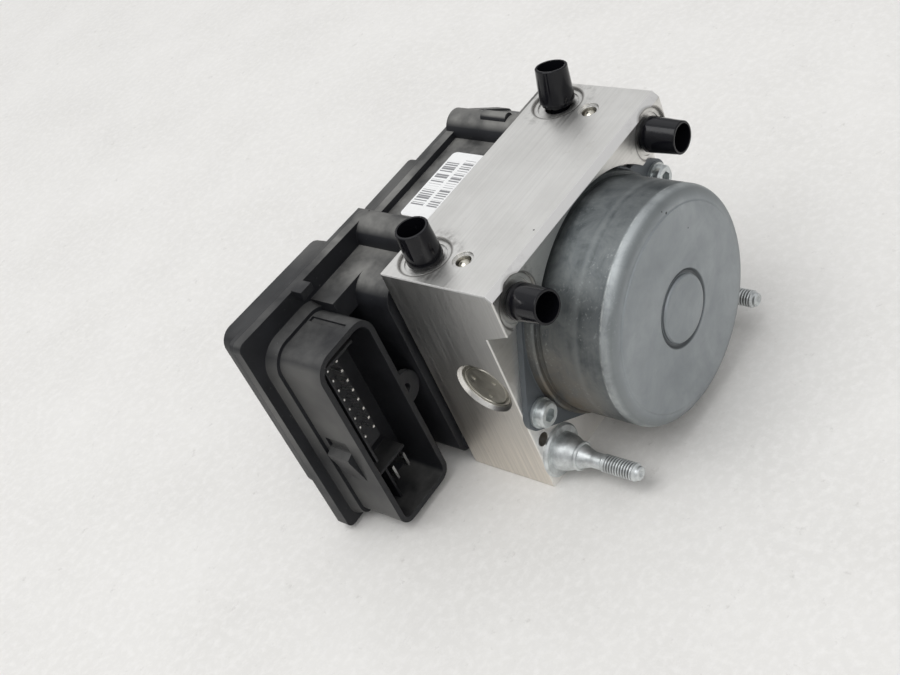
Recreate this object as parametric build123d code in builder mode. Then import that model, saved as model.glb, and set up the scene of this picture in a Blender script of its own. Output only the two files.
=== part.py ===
"""Anti-lock brake module: valve block, pump motor and electronic control unit.

Millimetres. The origin is the centre of the block's bottom face, which the module stands on.
X runs along the block with the connector at -X, the pump motor stands out along -Y, the control
unit is bolted on at +Y and +Z is up. Depths are measured forward from the block's back face.
"""

from build123d import *
from math import cos, radians, sin, sqrt
import os

os.makedirs("parts", exist_ok=True)

# ---------------------------------------------------------------- fits
seat_gap = 0.02          # pressed, staked and screwed seats, on the radius
running_gap = 0.04       # turning and sliding fits, on the radius
face_gap = 0.3           # between faces that move past each other
edge_break = 0.6         # machined edges
fine_break = 0.35        # edges that are only deburred

# ---------------------------------------------------------------- valve block
block_length = 96.5
block_height = 87.0
head_depth = 42.4        # the thick top half, which takes the pipe ports
foot_depth = 33.5        # the thinner lower half, which the motor is screwed to
head_bottom = 71.2       # where the step starts on the head's front face
step_drop = 3.4          # the step's underside falls this much towards the foot
head_slope = 2.1         # sloped top front edge
motor_arc_gap = 3.3      # between the can and the hollow milled in the head to clear it

# ---------------------------------------------------------------- pump motor
motor_axis_height = 43.5
can_radius = 38.0
can_wall = 2.4
can_length = 32.9        # from the foot's face to the can's front
can_corner = 4.0
flange_overhang = 2.3    # flange beyond the can's side
flange_thickness = 2.0
shoulder_rise = 1.4      # shoulder proud of the can's side
shoulder_length = 3.4
shoulder_groove = 1.0
ear_radius = 6.0
ear_reach = 6.5          # motor screws out from the can's side
ear_angle = 15.9         # motor screws above and below the horizontal, about the motor's axis
button_radius = 11.0
button_rise = 0.6
button_groove_width = 1.8
button_groove_depth = 0.9
plateau_radius = 33.0    # middle of the can's front, pressed slightly forward
plateau_rise = 0.4
motor_screw_radius = 2.5
motor_screw_depth = 11.0
motor_screw_head_radius = 4.3
motor_screw_washer_radius = 5.0
motor_screw_washer_height = 1.1
motor_screw_head_height = 4.0
socket_radius = 2.4
socket_depth = 2.2

magnet_thickness = 6.6
magnet_length = 17.0
magnet_count = 4
magnet_spacing = 10.0     # between neighbouring magnets
air_gap = 0.7
core_length = 11.0
core_slots = 12
slot_width = 3.6
slot_depth = 9.0
slot_bottom_gap = 0.4
end_turn_length = 3.4
commutator_radius = 11.0
commutator_length = 7.5
commutator_bars = 12
bar_gap = 0.6
shaft_radius = 4.0
journal_radius = 3.0
journal_length = 5.0
bush_radius = 6.0
core_face_gap = 1.4      # between the end turns and the bush

bearing_bore = 5.0
bearing_radius = 11.0
bearing_width = 5.6
bearing_ring_wall = 1.9
ball_count = 7
ball_gap = 0.05
hub_wall = 2.2
hub_lip = 1.2
shield_thickness = 1.8
brush_plate_thickness = 2.0
brush_width = 5.0
brush_height = 4.0
brush_length = 9.0
brush_box_wall = 1.0
brush_spring_radius = 1.6
brush_spring_wire = 0.5
brush_spring_length = 6.5
brush_spring_turns = 4

eccentricity = 0.9
eccentric_radius = 6.0
eccentric_ring_radius = 8.5
eccentric_ring_width = 7.0
chamber_radius = 11.0

# ---------------------------------------------------------------- pump elements
pump_depth = 22.2        # pump axis behind the back face's plane
pump_plug_radius = 9.0
pump_plug_length = 6.0
pump_plug_recess = 1.2
pump_mouth_break = 1.1   # wide chamfer round the plug
pump_plug_groove_radius = 7.6
pump_plug_groove_width = 0.7
pump_plug_groove_depth = 0.5
pump_plug_mark_radius = 0.8  # three punch marks
pump_plug_mark_depth = 0.4
pump_plug_mark_circle = 4.6
pump_plug_mark_count = 3
sleeve_radius = 6.5
sleeve_length = 17.0
sleeve_end_wall = 2.5
sleeve_outlet_radius = 1.0
piston_radius = 3.2
piston_seal_radius = 5.0
piston_seal_width = 2.0
pump_spring_wire = 0.7
pump_spring_radius = 2.3
pump_spring_turns = 5
pump_spring_length = 8.6  # fitted, from the piston to the sleeve's end wall

# ---------------------------------------------------------------- low-pressure accumulators
accumulator_inset = 27.25  # in from the block's end faces
accumulator_depth = 17.0
accumulator_radius = 9.5
accumulator_bore_height = 21.0
accumulator_cover_thickness = 2.0
accumulator_cover_recess = 0.5
accumulator_piston_height = 8.0
accumulator_piston_wall = 1.8
accumulator_seal_wire = 1.8
accumulator_spring_radius = 6.0
accumulator_spring_wire = 1.3
accumulator_spring_turns = 4

# ---------------------------------------------------------------- solenoid valves
valve_inset = 25.25      # in from the block's end faces
inlet_row_drop = 23.0    # below the block's top
outlet_row_height = 30.0
valve_radius = 6.0
valve_bore_depth = 12.0
valve_guide_radius = 3.7
valve_guide_wall = 0.6
valve_guide_length = 17.0
armature_length = 8.0
armature_stroke = 0.3
pin_radius = 1.0
valve_seat_depth = 2.0
valve_seat_hole = 0.6
valve_spring_room = 4.0
valve_spring_wire = 0.4
valve_spring_radius = 1.7
valve_spring_turns = 3
coil_radius = 9.4
coil_length = 15.5
coil_flange = 1.4
coil_waist = 8.2
coil_lead_radius = 0.5
coil_lead_across = 3.0

# ---------------------------------------------------------------- pipe ports and caps
wheel_port_inset = 10.45  # in from the block's end faces
wheel_port_depth = 10.2
master_port_inset = 9.45
master_port_drop = 9.7
port_radius = 4.6
port_bore_depth = 14.0
port_spot_radius = 8.5
port_spot_depth = 0.8
port_ring_radius = 6.9
port_ring_depth = 0.5
cap_base_radius = 5.8
cap_mouth_radius = 5.3
cap_height = 12.8
cap_neck_radius = 5.2
cap_neck_height = 0.9
cap_wall = 0.8
cap_plug_depth = 7.0
cap_lip = 0.4
loose_plug_radius = 2.9  # plug of a cap that has worked loose and leans
wheel_cap_lean = {"near": 0, "far": 12}
master_cap_lean = {"near": 11, "far": 0}
wheel_lean_way = (1, 0, 0)
master_lean_way = (-0.6, 0, 0.8)
ball_plug_inset = 12.35
ball_plug_depth = 23.6
ball_plug_radius = 2.5
ball_plug_recess_radius = 3.4
ball_plug_recess = 0.7
ball_seat_depth = 0.4
pin_hole_radius = 2.4
pin_hole_inset = 3.85
pin_hole_height = 19.6
pin_hole_depth = 9.0

# ---------------------------------------------------------------- mounting studs
stud_gap = 3.0           # between a stud's disc and the motor's flange
stud_disc_rise = 0.2     # stud discs above the block's bottom
stud_flange_radius = 9.1
stud_flange_thickness = 1.2
stud_bell_radius = 6.4
stud_bell_neck = 5.0
stud_bell_length = 6.4
stud_collar_radius = 4.9
stud_collar_length = 1.5
stud_cone_radius = 4.0
stud_cone_length = 4.0
stud_shank_radius = 2.65
stud_thread_radius = 3.0
stud_thread_length = 13.5
stud_reach = 31.0        # from the foot's face to the tip
stud_root_depth = 10.0
stud_tip_radius = 2.3
stud_tip_length = 1.8
stud_tip_recess_radius = 1.2
stud_tip_recess_depth = 0.8

# ---------------------------------------------------------------- control unit housing
box_overhang = 2.05      # the box stands out past the block at each end
box_foot_rise = 5.0
ledge_drop = 6.6         # the box's top below the block's top
box_wall = 2.6
box_corner = 8.0
box_foot_corner = 4.0
box_rim_thickness = 2.0
box_depth = 23.3         # from the seal to the slab's front
web_height = 8.0
web_depth = 9.7
seal_thickness = 1.4
seal_width = 2.6
seal_inset = 1.4         # from the block's end faces and the box's edges
seal_corner = 5.5
seal_post_gap = 0.5
seal_land = 0.4          # the rim is this much wider than the seal
slab_thickness = 3.2
slab_border = 6.5        # slab beyond the connector
slab_overhang = 0.7      # slab beyond the box at the far end
slab_rise = 1.3          # slab above the block's top, at its near corner
slab_fall = 1.4          # the slab's top edge falls this much up to the near post
slab_foot_drop = 3.4     # slab below the box
rail_drop = 4.2          # slab below the block's top, beyond the near post
slab_corner = 2.5
far_cut_start = 34.5     # the far top corner of box and slab is cut off, from here
far_cut_drop = 16.0      # down to this far below the block's top
board_thickness = 1.6
board_gap = 0.4
pocket_wall = 3.0
pocket_depth = 1.7
boss_wall = 1.5
processor_side = 16.0
processor_height = 1.4
capacitor_radius = 4.2
capacitor_height = 5.5
lid_thickness = 1.7
bulge_rise = 7.0
bulge_near_border = 2.2
bulge_top_border = 0.4
bulge_foot_border = 14.0
bulge_length = 50.5
bulge_corner = 5.5
bulge_wall = 3.2
bulge_taper = 4
hump_reach = 9.0         # shallow second bulge, up to here along the block
hump_height = 34.0
hump_rise = 3.4
hump_border = 0.3
hump_corner = 3.5
post_drop = 6.0          # screw posts below the block's top
post_near_inset = 21.75  # upper posts in from the block's end faces
post_far_inset = 20.25
post_near_radius = 6.4
post_far_radius = 5.9
post_lug_radius = 2.1
post_lug_start = 3.5
post_lug_length = 10.4
strip_length = 19.0
strip_height = 4.8
strip_start = 1.8
strip_thickness = 1.6
low_post_inset = 5.8     # lower posts in from the box's end
low_post_rise = 4.2      # lower posts above the box's bottom
low_post_radius = 4.0
unit_screw_radius = 2.0
unit_screw_depth = 9.0
unit_screw_head_radius = 3.5
unit_screw_head_height = 2.6
tab_width = 5.0
tab_height = 3.0
tab_depth = 4.5
tab_out = 10.5           # tab out from the box's near end
label_width = 17.0
label_thickness = 0.2
label_corner = 1.8
label_from_block = 3.0
label_near_gap = 3.1     # from the near post to the label
label_far_gap = 6.9      # from the label to the far post

# ---------------------------------------------------------------- connector
shroud_gap = 6.2         # between the box and the shroud
shroud_width = 26.0
shroud_drop = 8.5        # shroud below the block's top
shroud_foot_rise = 1.6   # shroud above the slab's bottom
shroud_mouth = 3.7       # the mouth, behind the block's back plane
shroud_wall = 2.0
shroud_corner = 7.0
shroud_foot_corner = 5.0
shroud_depth = 17.0      # from the mouth to the cavity's floor
shroud_pad_border = 2.6
shroud_pad_depth = 3.6
shroud_pad_taper = 20
carrier_inset = 5.4      # pin carrier in from the shroud's near side
carrier_width = 10.4
carrier_height = 42.7
carrier_drop = 7.0       # pin carrier below the shroud's top
carrier_rise = 6.0
carrier_corner = 0.8
guard_drop = 4.3         # guard ribs behind the mouth
guard_length = 14.0
rib_thickness = 1.0
divider_rise = 16.8      # divider above the shroud's bottom
divider_drop = 8.3       # divider behind the mouth
divider_length = 18.5
corner_rib_inset = 9.5
latch_slot_inset = 18.2
latch_slot_start = 6.2
latch_slot_length = 14.5
latch_slot_width = 2.0
latch_slot_depth = 0.9
ramp_drop = 39.5         # latch ramp below the shroud's top
ramp_height = 14.0
ramp_rise = 2.4
ramp_start = 9.6         # behind the block's back face
ramp_width = 9.2
latch_window_height = 4.4
latch_window_depth = 1.1
lug_radius = 6.0
lug_thickness = 2.2
lug_drop = 34.5          # the lever's lug below the shroud's top
lug_hole_radius = 1.8
signal_row_inset = 7.7   # first row of pins in from the shroud's near side
signal_row_spacing = 4.6
signal_rows = 2
signal_pin_drop = 10.0   # first pins below the shroud's top
signal_pin_pitch = 4.3
signal_pin_count = 8
signal_pin_side = 0.8
signal_pin_drop_in = 6.3  # pin tips behind the mouth
blade_inset = 12.9
blade_spacing = 6.0
blade_rise = 10.3
blade_width = 6.0
blade_thickness = 0.9
blade_drop_in = 9.5

# ---------------------------------------------------------------- motor lead
lead_drop = 24.0         # lead below the motor's axis
lead_radius = 4.5
lead_pin_width = 2.0
lead_pin_thickness = 0.8
lead_pin_spread = 4.0

# ================================================================ shared planes
half_length = block_length / 2
wheel_port_across = half_length - wheel_port_inset
master_port_across = half_length - master_port_inset
ball_plug_across = half_length - ball_plug_inset
pin_hole_across = half_length - pin_hole_inset
accumulator_across = half_length - accumulator_inset
valve_across = half_length - valve_inset
inlet_row_height = block_height - inlet_row_drop
post_near_across = half_length - post_near_inset
post_far_across = half_length - post_far_inset
motor_arc_radius = can_radius + motor_arc_gap
flange_radius = can_radius + flange_overhang
shoulder_radius = can_radius + shoulder_rise
ear_distance = can_radius + ear_reach
ear_across = ear_distance * cos(radians(ear_angle))
ear_rise = ear_distance * sin(radians(ear_angle))
stud_height = stud_flange_radius + stud_disc_rise
stud_distance = flange_radius + stud_gap + stud_flange_radius
stud_across = sqrt(stud_distance ** 2 - (motor_axis_height - stud_height) ** 2)
lead_height = motor_axis_height - lead_drop
foot_height = head_bottom - step_drop
can_front = foot_depth + can_length
back_y = foot_depth / 2     # the block's back face
master_port_height = block_height - master_port_drop
port_seat_depth = port_spot_depth + port_ring_depth


def outward(x, z):
    """Section plane of a round piece whose axis runs out of the front: local y is -Y."""
    return Plane(origin=(x, back_y, z), x_dir=(1, 0, 0), z_dir=(0, 0, -1))


def inward(x, z):
    """Section plane of a round piece whose axis runs into the control unit: local y is +Y."""
    return Plane(origin=(x, back_y, z), x_dir=(1, 0, 0), z_dir=(0, 0, 1))


def sideways(side):
    """Section plane of a pump element: local y runs out of the end face on that side."""
    pump_centre = (0, back_y - pump_depth, motor_axis_height)
    return Plane(origin=pump_centre, x_dir=(0, 0, 1), z_dir=(0, side, 0))


def upright(x, depth):
    """Section plane of a round piece that stands along +Z."""
    return Plane(origin=(x, back_y - depth, 0), x_dir=(1, 0, 0), z_dir=(0, -1, 0))


def front_point(x, depth, z):
    """Plane that faces forward, with its origin at a point this far in front of the back face."""
    return Plane(origin=(x, back_y - depth, z), x_dir=(1, 0, 0), z_dir=(0, -1, 0))


def front_face(depth):
    """Plane across the motor's axis, this far in front of the block's back face."""
    return front_point(0, depth, 0)


def back_point(x, distance, z):
    """Plane that faces the control unit, at a point this far behind the block's back face."""
    return Plane(origin=(x, back_y + distance, z), x_dir=(-1, 0, 0), z_dir=(0, 1, 0))


def back_face(distance):
    """Plane this far behind the block's back face; local x is X, local y is Z, it faces forward."""
    return front_point(0, -distance, 0)


def spin_axis(plane):
    """The axis that a section drawn on this plane is turned about."""
    return Axis(plane.origin, plane.y_dir)


motor_section = outward(0, motor_axis_height)
sides = {"near": -1, "far": 1}

# Depths along the motor's axis, all in front of the block's back face.
bearing_front = foot_depth - face_gap
bearing_back = bearing_front - bearing_width
hub_radius = bearing_radius + hub_wall
hub_back = bearing_back - hub_lip
ring_back = pump_depth - eccentric_ring_width / 2
chamber_back = ring_back - 2 * hub_lip
tail_back = chamber_back - journal_length
shield_front = foot_depth + shield_thickness
commutator_back = shield_front + brush_plate_thickness / 2
commutator_front = commutator_back + commutator_length
core_back = commutator_front + end_turn_length
core_front = core_back + core_length
plateau_front = can_front + plateau_rise
shaft_front = plateau_front + button_rise - can_wall - 2 * face_gap
bush_back = shaft_front - journal_length
magnet_outer = can_radius - can_wall - seat_gap
magnet_inner = magnet_outer - magnet_thickness
core_radius = magnet_inner - air_gap
magnet_back = (core_back + core_front - magnet_length) / 2

# Pump depths, measured from the motor's axis.
piston_tip = eccentric_ring_radius + eccentricity + running_gap + 0.1
sleeve_outer_end = half_length - pump_plug_recess - pump_plug_length - seat_gap
sleeve_inner_end = sleeve_outer_end - sleeve_length
pump_spring_end = sleeve_outer_end - sleeve_end_wall
pump_spring_start = pump_spring_end - pump_spring_length
seal_end = sleeve_inner_end - seat_gap
seal_start = seal_end - piston_seal_width

motor_screw_places = [
    (-ear_across, motor_axis_height - ear_rise),
    (ear_across, motor_axis_height + ear_rise),
]
valve_places = {
    "inlet_valve_near": (-valve_across, inlet_row_height),
    "inlet_valve_far": (valve_across, inlet_row_height),
    "outlet_valve_near": (-valve_across, outlet_row_height),
    "outlet_valve_far": (valve_across, outlet_row_height),
}

# Control unit, measured from the block.
box_half_length = half_length + box_overhang
box_bottom = box_foot_rise
box_top = block_height - ledge_drop
rim_front = seal_thickness
slab_front = rim_front + box_depth
slab_back = slab_front + slab_thickness
lid_back = slab_back + lid_thickness
shroud_far = -box_half_length - shroud_gap
shroud_near = shroud_far - shroud_width
slab_bottom = box_bottom - slab_foot_drop
shroud_top = block_height - shroud_drop
shroud_bottom = slab_bottom + shroud_foot_rise
shroud_height = shroud_top - shroud_bottom
shroud_middle = ((shroud_near + shroud_far) / 2, (shroud_bottom + shroud_top) / 2)
shroud_floor = shroud_mouth + shroud_depth
slab_near = shroud_near - slab_border
slab_far = box_half_length + slab_overhang
slab_top = block_height + slab_rise
board_front = slab_back - pocket_depth
rail_top = block_height - rail_drop
slab_step = -post_near_across + post_near_radius / 2
bulge_near = slab_near + bulge_near_border
bulge_far = bulge_near + bulge_length
bulge_middle = (bulge_near + bulge_far) / 2
carrier_near = shroud_near + carrier_inset
carrier_top = shroud_top - carrier_drop
carrier_middle = carrier_near + carrier_width / 2
carrier_centre_height = carrier_top - carrier_height / 2
tab_across = -box_half_length - tab_out
guard_mouth = shroud_mouth + guard_drop
divider_height = shroud_bottom + divider_rise
divider_mouth = shroud_mouth + divider_drop
ramp_top = shroud_top - ramp_drop
lug_height = shroud_top - lug_drop
corner_rib_across = shroud_near + corner_rib_inset
latch_slot_across = shroud_near + latch_slot_inset
signal_pin_reach = shroud_mouth + signal_pin_drop_in
blade_reach = shroud_mouth + blade_drop_in
signal_pin_places = [
    (
        shroud_near + signal_row_inset + row * signal_row_spacing,
        shroud_top - signal_pin_drop - count * signal_pin_pitch,
    )
    for row in range(signal_rows)
    for count in range(signal_pin_count)
]
blade_places = [
    (shroud_near + blade_inset, shroud_bottom + blade_rise),
    (shroud_near + blade_inset + blade_spacing, shroud_bottom + blade_rise),
]
post_height = block_height - post_drop
screw_posts = [
    (-post_near_across, post_height, post_near_radius),
    (post_far_across, post_height, post_far_radius),
    (-box_half_length + low_post_inset, box_bottom + low_post_rise, low_post_radius),
    (box_half_length - low_post_inset, box_bottom + low_post_rise, low_post_radius),
]
unit_screw_places = [(across, height) for across, height, radius in screw_posts]

# ================================================================ valve block
# Extruded aluminium bar, milled to a stepped section and drilled from every side.
foot_y = back_y - foot_depth
head_y = back_y - head_depth
head_outline = [
    (back_y, 0),
    (foot_y, 0),
    (foot_y, foot_height),
    (head_y, head_bottom),
    (head_y, block_height - head_slope),
    (head_y + head_slope, block_height),
    (back_y, block_height),
]
with BuildPart() as valve_block:
    with BuildSketch(Plane.YZ):
        with BuildLine():
            Polyline(*head_outline, close=True)
        make_face()
    extrude(amount=half_length, both=True)
    chamfer(valve_block.faces().sort_by(Axis.X)[0].edges(), fine_break)
    chamfer(valve_block.faces().sort_by(Axis.X)[-1].edges(), fine_break)

    # Hollow in the head that clears the motor.
    with BuildSketch(front_face(foot_depth)):
        with Locations((0, motor_axis_height)):
            Circle(motor_arc_radius)
    extrude(amount=2 * head_depth, mode=Mode.SUBTRACT)

    # Stepped bore for the bearing hub, the eccentric and the shaft's tail.
    with BuildSketch(motor_section):
        with BuildLine():
            Polyline(
                (0, foot_depth + edge_break),
                (hub_radius + seat_gap + edge_break, foot_depth + edge_break),
                (hub_radius + seat_gap + edge_break, foot_depth),
                (hub_radius + seat_gap, foot_depth - edge_break),
                (hub_radius + seat_gap, hub_back - seat_gap),
                (chamber_radius, hub_back - seat_gap),
                (chamber_radius, chamber_back),
                (bush_radius + seat_gap, chamber_back),
                (bush_radius + seat_gap, tail_back - seat_gap),
                (0, tail_back - seat_gap),
                close=True,
            )
        make_face()
    revolve(axis=spin_axis(motor_section), mode=Mode.SUBTRACT)

    # Pump bores from both ends, stepped for plug, sleeve, seal and piston.
    for side in sides.values():
        pump_section = sideways(side)
        with BuildSketch(pump_section):
            with BuildLine():
                Polyline(
                    (0, half_length + edge_break),
                    (pump_plug_radius + pump_mouth_break, half_length + edge_break),
                    (pump_plug_radius + pump_mouth_break, half_length),
                    (pump_plug_radius + seat_gap, half_length - pump_mouth_break),
                    (pump_plug_radius + seat_gap, sleeve_outer_end),
                    (sleeve_radius + seat_gap, sleeve_outer_end),
                    (sleeve_radius + seat_gap, sleeve_inner_end),
                    (piston_seal_radius + seat_gap, sleeve_inner_end),
                    (piston_seal_radius + seat_gap, seal_start),
                    (piston_radius + running_gap, seal_start),
                    (piston_radius + running_gap, 0),
                    (0, 0),
                    close=True,
                )
            make_face()
        revolve(axis=spin_axis(pump_section), mode=Mode.SUBTRACT)

    # Accumulator bores from below.
    for side in sides.values():
        accumulator_mouth = (side * accumulator_across, back_y - accumulator_depth, 0)
        with Locations(Plane(origin=accumulator_mouth, z_dir=(0, 0, -1))):
            Hole(accumulator_radius + running_gap, depth=accumulator_bore_height)

    # Valve bores from the back.
    for across, height in valve_places.values():
        with Locations(back_point(across, 0, height)):
            Hole(valve_radius + seat_gap, depth=valve_bore_depth)

    # Wheel ports in the top face, with a spot face and a stepped mouth.
    for side in sides.values():
        with Locations((side * wheel_port_across, back_y - wheel_port_depth, block_height)):
            CounterBoreHole(port_radius, port_spot_radius, port_spot_depth, depth=port_bore_depth)
            CounterBoreHole(port_radius, port_ring_radius, port_seat_depth, depth=port_bore_depth)

    # Master cylinder ports in the head's front face.
    for side in sides.values():
        with Locations(front_point(side * master_port_across, head_depth, master_port_height)):
            CounterBoreHole(port_radius, port_spot_radius, port_spot_depth, depth=port_bore_depth)
            CounterBoreHole(port_radius, port_ring_radius, port_seat_depth, depth=port_bore_depth)

    # Drilled passages closed by ball plugs.
    for side in sides.values():
        with Locations((side * ball_plug_across, back_y - ball_plug_depth, block_height)):
            CounterBoreHole(
                ball_plug_radius - ball_seat_depth,
                ball_plug_recess_radius,
                ball_plug_recess,
                depth=ball_plug_recess + 3 * ball_plug_radius,
            )
            CounterBoreHole(
                ball_plug_radius - ball_seat_depth,
                ball_plug_radius + seat_gap,
                ball_plug_recess + 2 * ball_plug_radius,
                depth=ball_plug_recess + 3 * ball_plug_radius,
            )

    # Motor screws, studs, the locating hole, the motor lead and the control unit's screws.
    for across, height in motor_screw_places:
        with Locations(front_point(across, foot_depth, height)):
            Hole(motor_screw_radius + seat_gap, depth=motor_screw_depth)
    for side in sides.values():
        with Locations(front_point(side * stud_across, foot_depth, stud_height)):
            Hole(stud_thread_radius + seat_gap, depth=stud_root_depth)
    with Locations(front_point(-pin_hole_across, foot_depth, pin_hole_height)):
        Hole(pin_hole_radius, depth=pin_hole_depth)
    with Locations(front_point(0, foot_depth, lead_height)):
        Hole(lead_radius + seat_gap, depth=foot_depth)
    for across, height in unit_screw_places:
        with Locations(back_point(across, 0, height)):
            Hole(unit_screw_radius + seat_gap, depth=unit_screw_depth)
valve_block.part.label = "valve_block"
export_step(valve_block.part, "parts/valve_block.step")

# Hardened balls pressed into the drillings and staked.
with BuildPart() as ball_plugs:
    for side in sides.values():
        ball_height = block_height - ball_plug_recess - ball_plug_radius
        with Locations((side * ball_plug_across, back_y - ball_plug_depth, ball_height)):
            Sphere(ball_plug_radius - seat_gap)
ball_plugs.part.label = "ball_plugs"
export_step(ball_plugs.part, "parts/ball_plugs.step")


# ================================================================ transport caps
def cap_outline(plug_radius):
    """Half section of a hollow push-in cap, along its axis from the plug's end to the mouth."""
    floor = cap_neck_height + cap_wall
    return [
        (0, -cap_plug_depth),
        (plug_radius - cap_lip, -cap_plug_depth),
        (plug_radius, -cap_plug_depth + 2 * cap_lip),
        (plug_radius, 0),
        (cap_neck_radius, 0),
        (cap_neck_radius, cap_neck_height),
        (cap_base_radius - cap_lip, cap_neck_height),
        (cap_base_radius, cap_neck_height + cap_lip),
        (cap_mouth_radius, cap_height - cap_lip / 2),
        (cap_mouth_radius - cap_lip / 2, cap_height),
        (cap_mouth_radius - cap_wall, cap_height),
        (cap_base_radius - cap_wall, floor),
        (0, floor),
    ]


def tipped(seat_centre, axis, toward, lean):
    """Section plane of a cap that leans on the edge of its neck; local y is the cap's axis."""
    tilt = radians(lean)
    across = toward * cos(tilt) - axis * sin(tilt)
    along = axis * cos(tilt) + toward * sin(tilt)
    lift = axis * sin(tilt) + toward * (1 - cos(tilt))
    return Plane(
        origin=Vector(seat_centre) + lift * cap_neck_radius,
        x_dir=across,
        z_dir=across.cross(along),
    )


def plug_size(lean):
    """A seated cap's plug fills the port, a leaning one's has shrunk free of it."""
    return loose_plug_radius if lean else port_radius - seat_gap


wheel_cap_seat = block_height - port_seat_depth
master_cap_seat = head_depth - port_seat_depth
for name, side in sides.items():
    lean = wheel_cap_lean[name]
    seat_centre = (side * wheel_port_across, back_y - wheel_port_depth, wheel_cap_seat)
    cap_section = tipped(seat_centre, Vector(0, 0, 1), Vector(wheel_lean_way), lean)
    with BuildPart() as wheel_port_cap:
        with BuildSketch(cap_section):
            with BuildLine():
                Polyline(*cap_outline(plug_size(lean)), close=True)
            make_face()
        revolve(axis=spin_axis(cap_section))
    wheel_port_cap.part.label = f"wheel_port_cap_{name}"
    export_step(wheel_port_cap.part, f"parts/wheel_port_cap_{name}.step")

    lean = master_cap_lean[name]
    seat_centre = (side * master_port_across, back_y - master_cap_seat, master_port_height)
    cap_section = tipped(seat_centre, Vector(0, -1, 0), Vector(master_lean_way), lean)
    with BuildPart() as master_port_cap:
        with BuildSketch(cap_section):
            with BuildLine():
                Polyline(*cap_outline(plug_size(lean)), close=True)
            make_face()
        revolve(axis=spin_axis(cap_section))
    master_port_cap.part.label = f"master_port_cap_{name}"
    export_step(master_port_cap.part, f"parts/master_port_cap_{name}.step")

# ================================================================ pump elements
for name, side in sides.items():
    pump_section = sideways(side)
    pump_axis = spin_axis(pump_section)

    # Turned steel plug that closes the bore, staked below the end face.
    plug_outer = half_length - pump_plug_recess
    with BuildPart() as pump_plug:
        with BuildSketch(pump_section):
            with BuildLine():
                Polyline(
                    (0, plug_outer - pump_plug_length),
                    (pump_plug_radius, plug_outer - pump_plug_length),
                    (pump_plug_radius, plug_outer - fine_break),
                    (pump_plug_radius - fine_break, plug_outer),
                    (pump_plug_groove_radius + pump_plug_groove_width / 2, plug_outer),
                    (pump_plug_groove_radius, plug_outer - pump_plug_groove_depth),
                    (pump_plug_groove_radius - pump_plug_groove_width / 2, plug_outer),
                    (0, plug_outer),
                    close=True,
                )
            make_face()
        revolve(axis=pump_axis)
        plug_face = (side * plug_outer, back_y - pump_depth, motor_axis_height)
        with Locations(Plane(origin=plug_face, z_dir=(side, 0, 0))):
            with PolarLocations(pump_plug_mark_circle, pump_plug_mark_count):
                Hole(pump_plug_mark_radius, depth=pump_plug_mark_depth)
    pump_plug.part.label = f"pump_plug_{name}"
    export_step(pump_plug.part, f"parts/pump_plug_{name}.step")

    # Cylinder sleeve, open towards the eccentric, with the outlet hole in its end wall.
    with BuildPart() as pump_sleeve:
        with BuildSketch(pump_section):
            with BuildLine():
                Polyline(
                    (sleeve_outlet_radius, sleeve_outer_end - seat_gap),
                    (sleeve_outlet_radius, pump_spring_end),
                    (piston_radius + running_gap, pump_spring_end),
                    (piston_radius + running_gap, sleeve_inner_end + seat_gap),
                    (sleeve_radius, sleeve_inner_end + seat_gap),
                    (sleeve_radius, sleeve_outer_end - seat_gap),
                    close=True,
                )
            make_face()
        revolve(axis=pump_axis)
    pump_sleeve.part.label = f"pump_sleeve_{name}"
    export_step(pump_sleeve.part, f"parts/pump_sleeve_{name}.step")

    # Piston, with a domed tip that the eccentric ring pushes.
    with BuildPart() as pump_piston:
        with BuildSketch(pump_section):
            with BuildLine():
                Polyline(
                    (0, piston_tip),
                    (piston_radius / 2, piston_tip),
                    (piston_radius, piston_tip + edge_break),
                    (piston_radius, pump_spring_start - edge_break),
                    (piston_radius - edge_break, pump_spring_start),
                    (0, pump_spring_start),
                    close=True,
                )
            make_face()
        revolve(axis=pump_axis)
    pump_piston.part.label = f"pump_piston_{name}"
    export_step(pump_piston.part, f"parts/pump_piston_{name}.step")

# Guide seals round the pistons, one in each bore.
with BuildPart() as piston_seals:
    for side in sides.values():
        pump_section = sideways(side)
        with BuildSketch(pump_section):
            piston_seal_inner = piston_radius + running_gap
            with Locations(((piston_seal_inner + piston_seal_radius) / 2, (seal_start + seal_end) / 2)):
                Rectangle(
                    piston_seal_radius - piston_radius - running_gap,
                    seal_end - seal_start - 2 * seat_gap,
                )
        revolve(axis=spin_axis(pump_section))
piston_seals.part.label = "piston_seals"
export_step(piston_seals.part, "parts/piston_seals.step")

# Return springs between piston and sleeve end.
pump_spring_room = pump_spring_end - pump_spring_start - 2 * seat_gap
with BuildPart() as pump_springs:
    for side in sides.values():
        pump_section = sideways(side)
        foot_distance = pump_spring_start + seat_gap + pump_spring_wire / 2
        spring_foot = pump_section.origin + pump_section.y_dir * foot_distance
        with BuildLine():
            pump_coil = Helix(
                pitch=(pump_spring_room - pump_spring_wire) / pump_spring_turns,
                height=pump_spring_room - pump_spring_wire,
                radius=pump_spring_radius,
                center=spring_foot,
                direction=pump_section.y_dir,
            )
        with BuildSketch(Plane(origin=pump_coil @ 0, z_dir=pump_coil % 0)):
            RegularPolygon(pump_spring_wire / 2, 6)
        sweep(path=pump_coil, is_frenet=True)
pump_springs.part.label = "pump_springs"
export_step(pump_springs.part, "parts/pump_springs.step")

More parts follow.
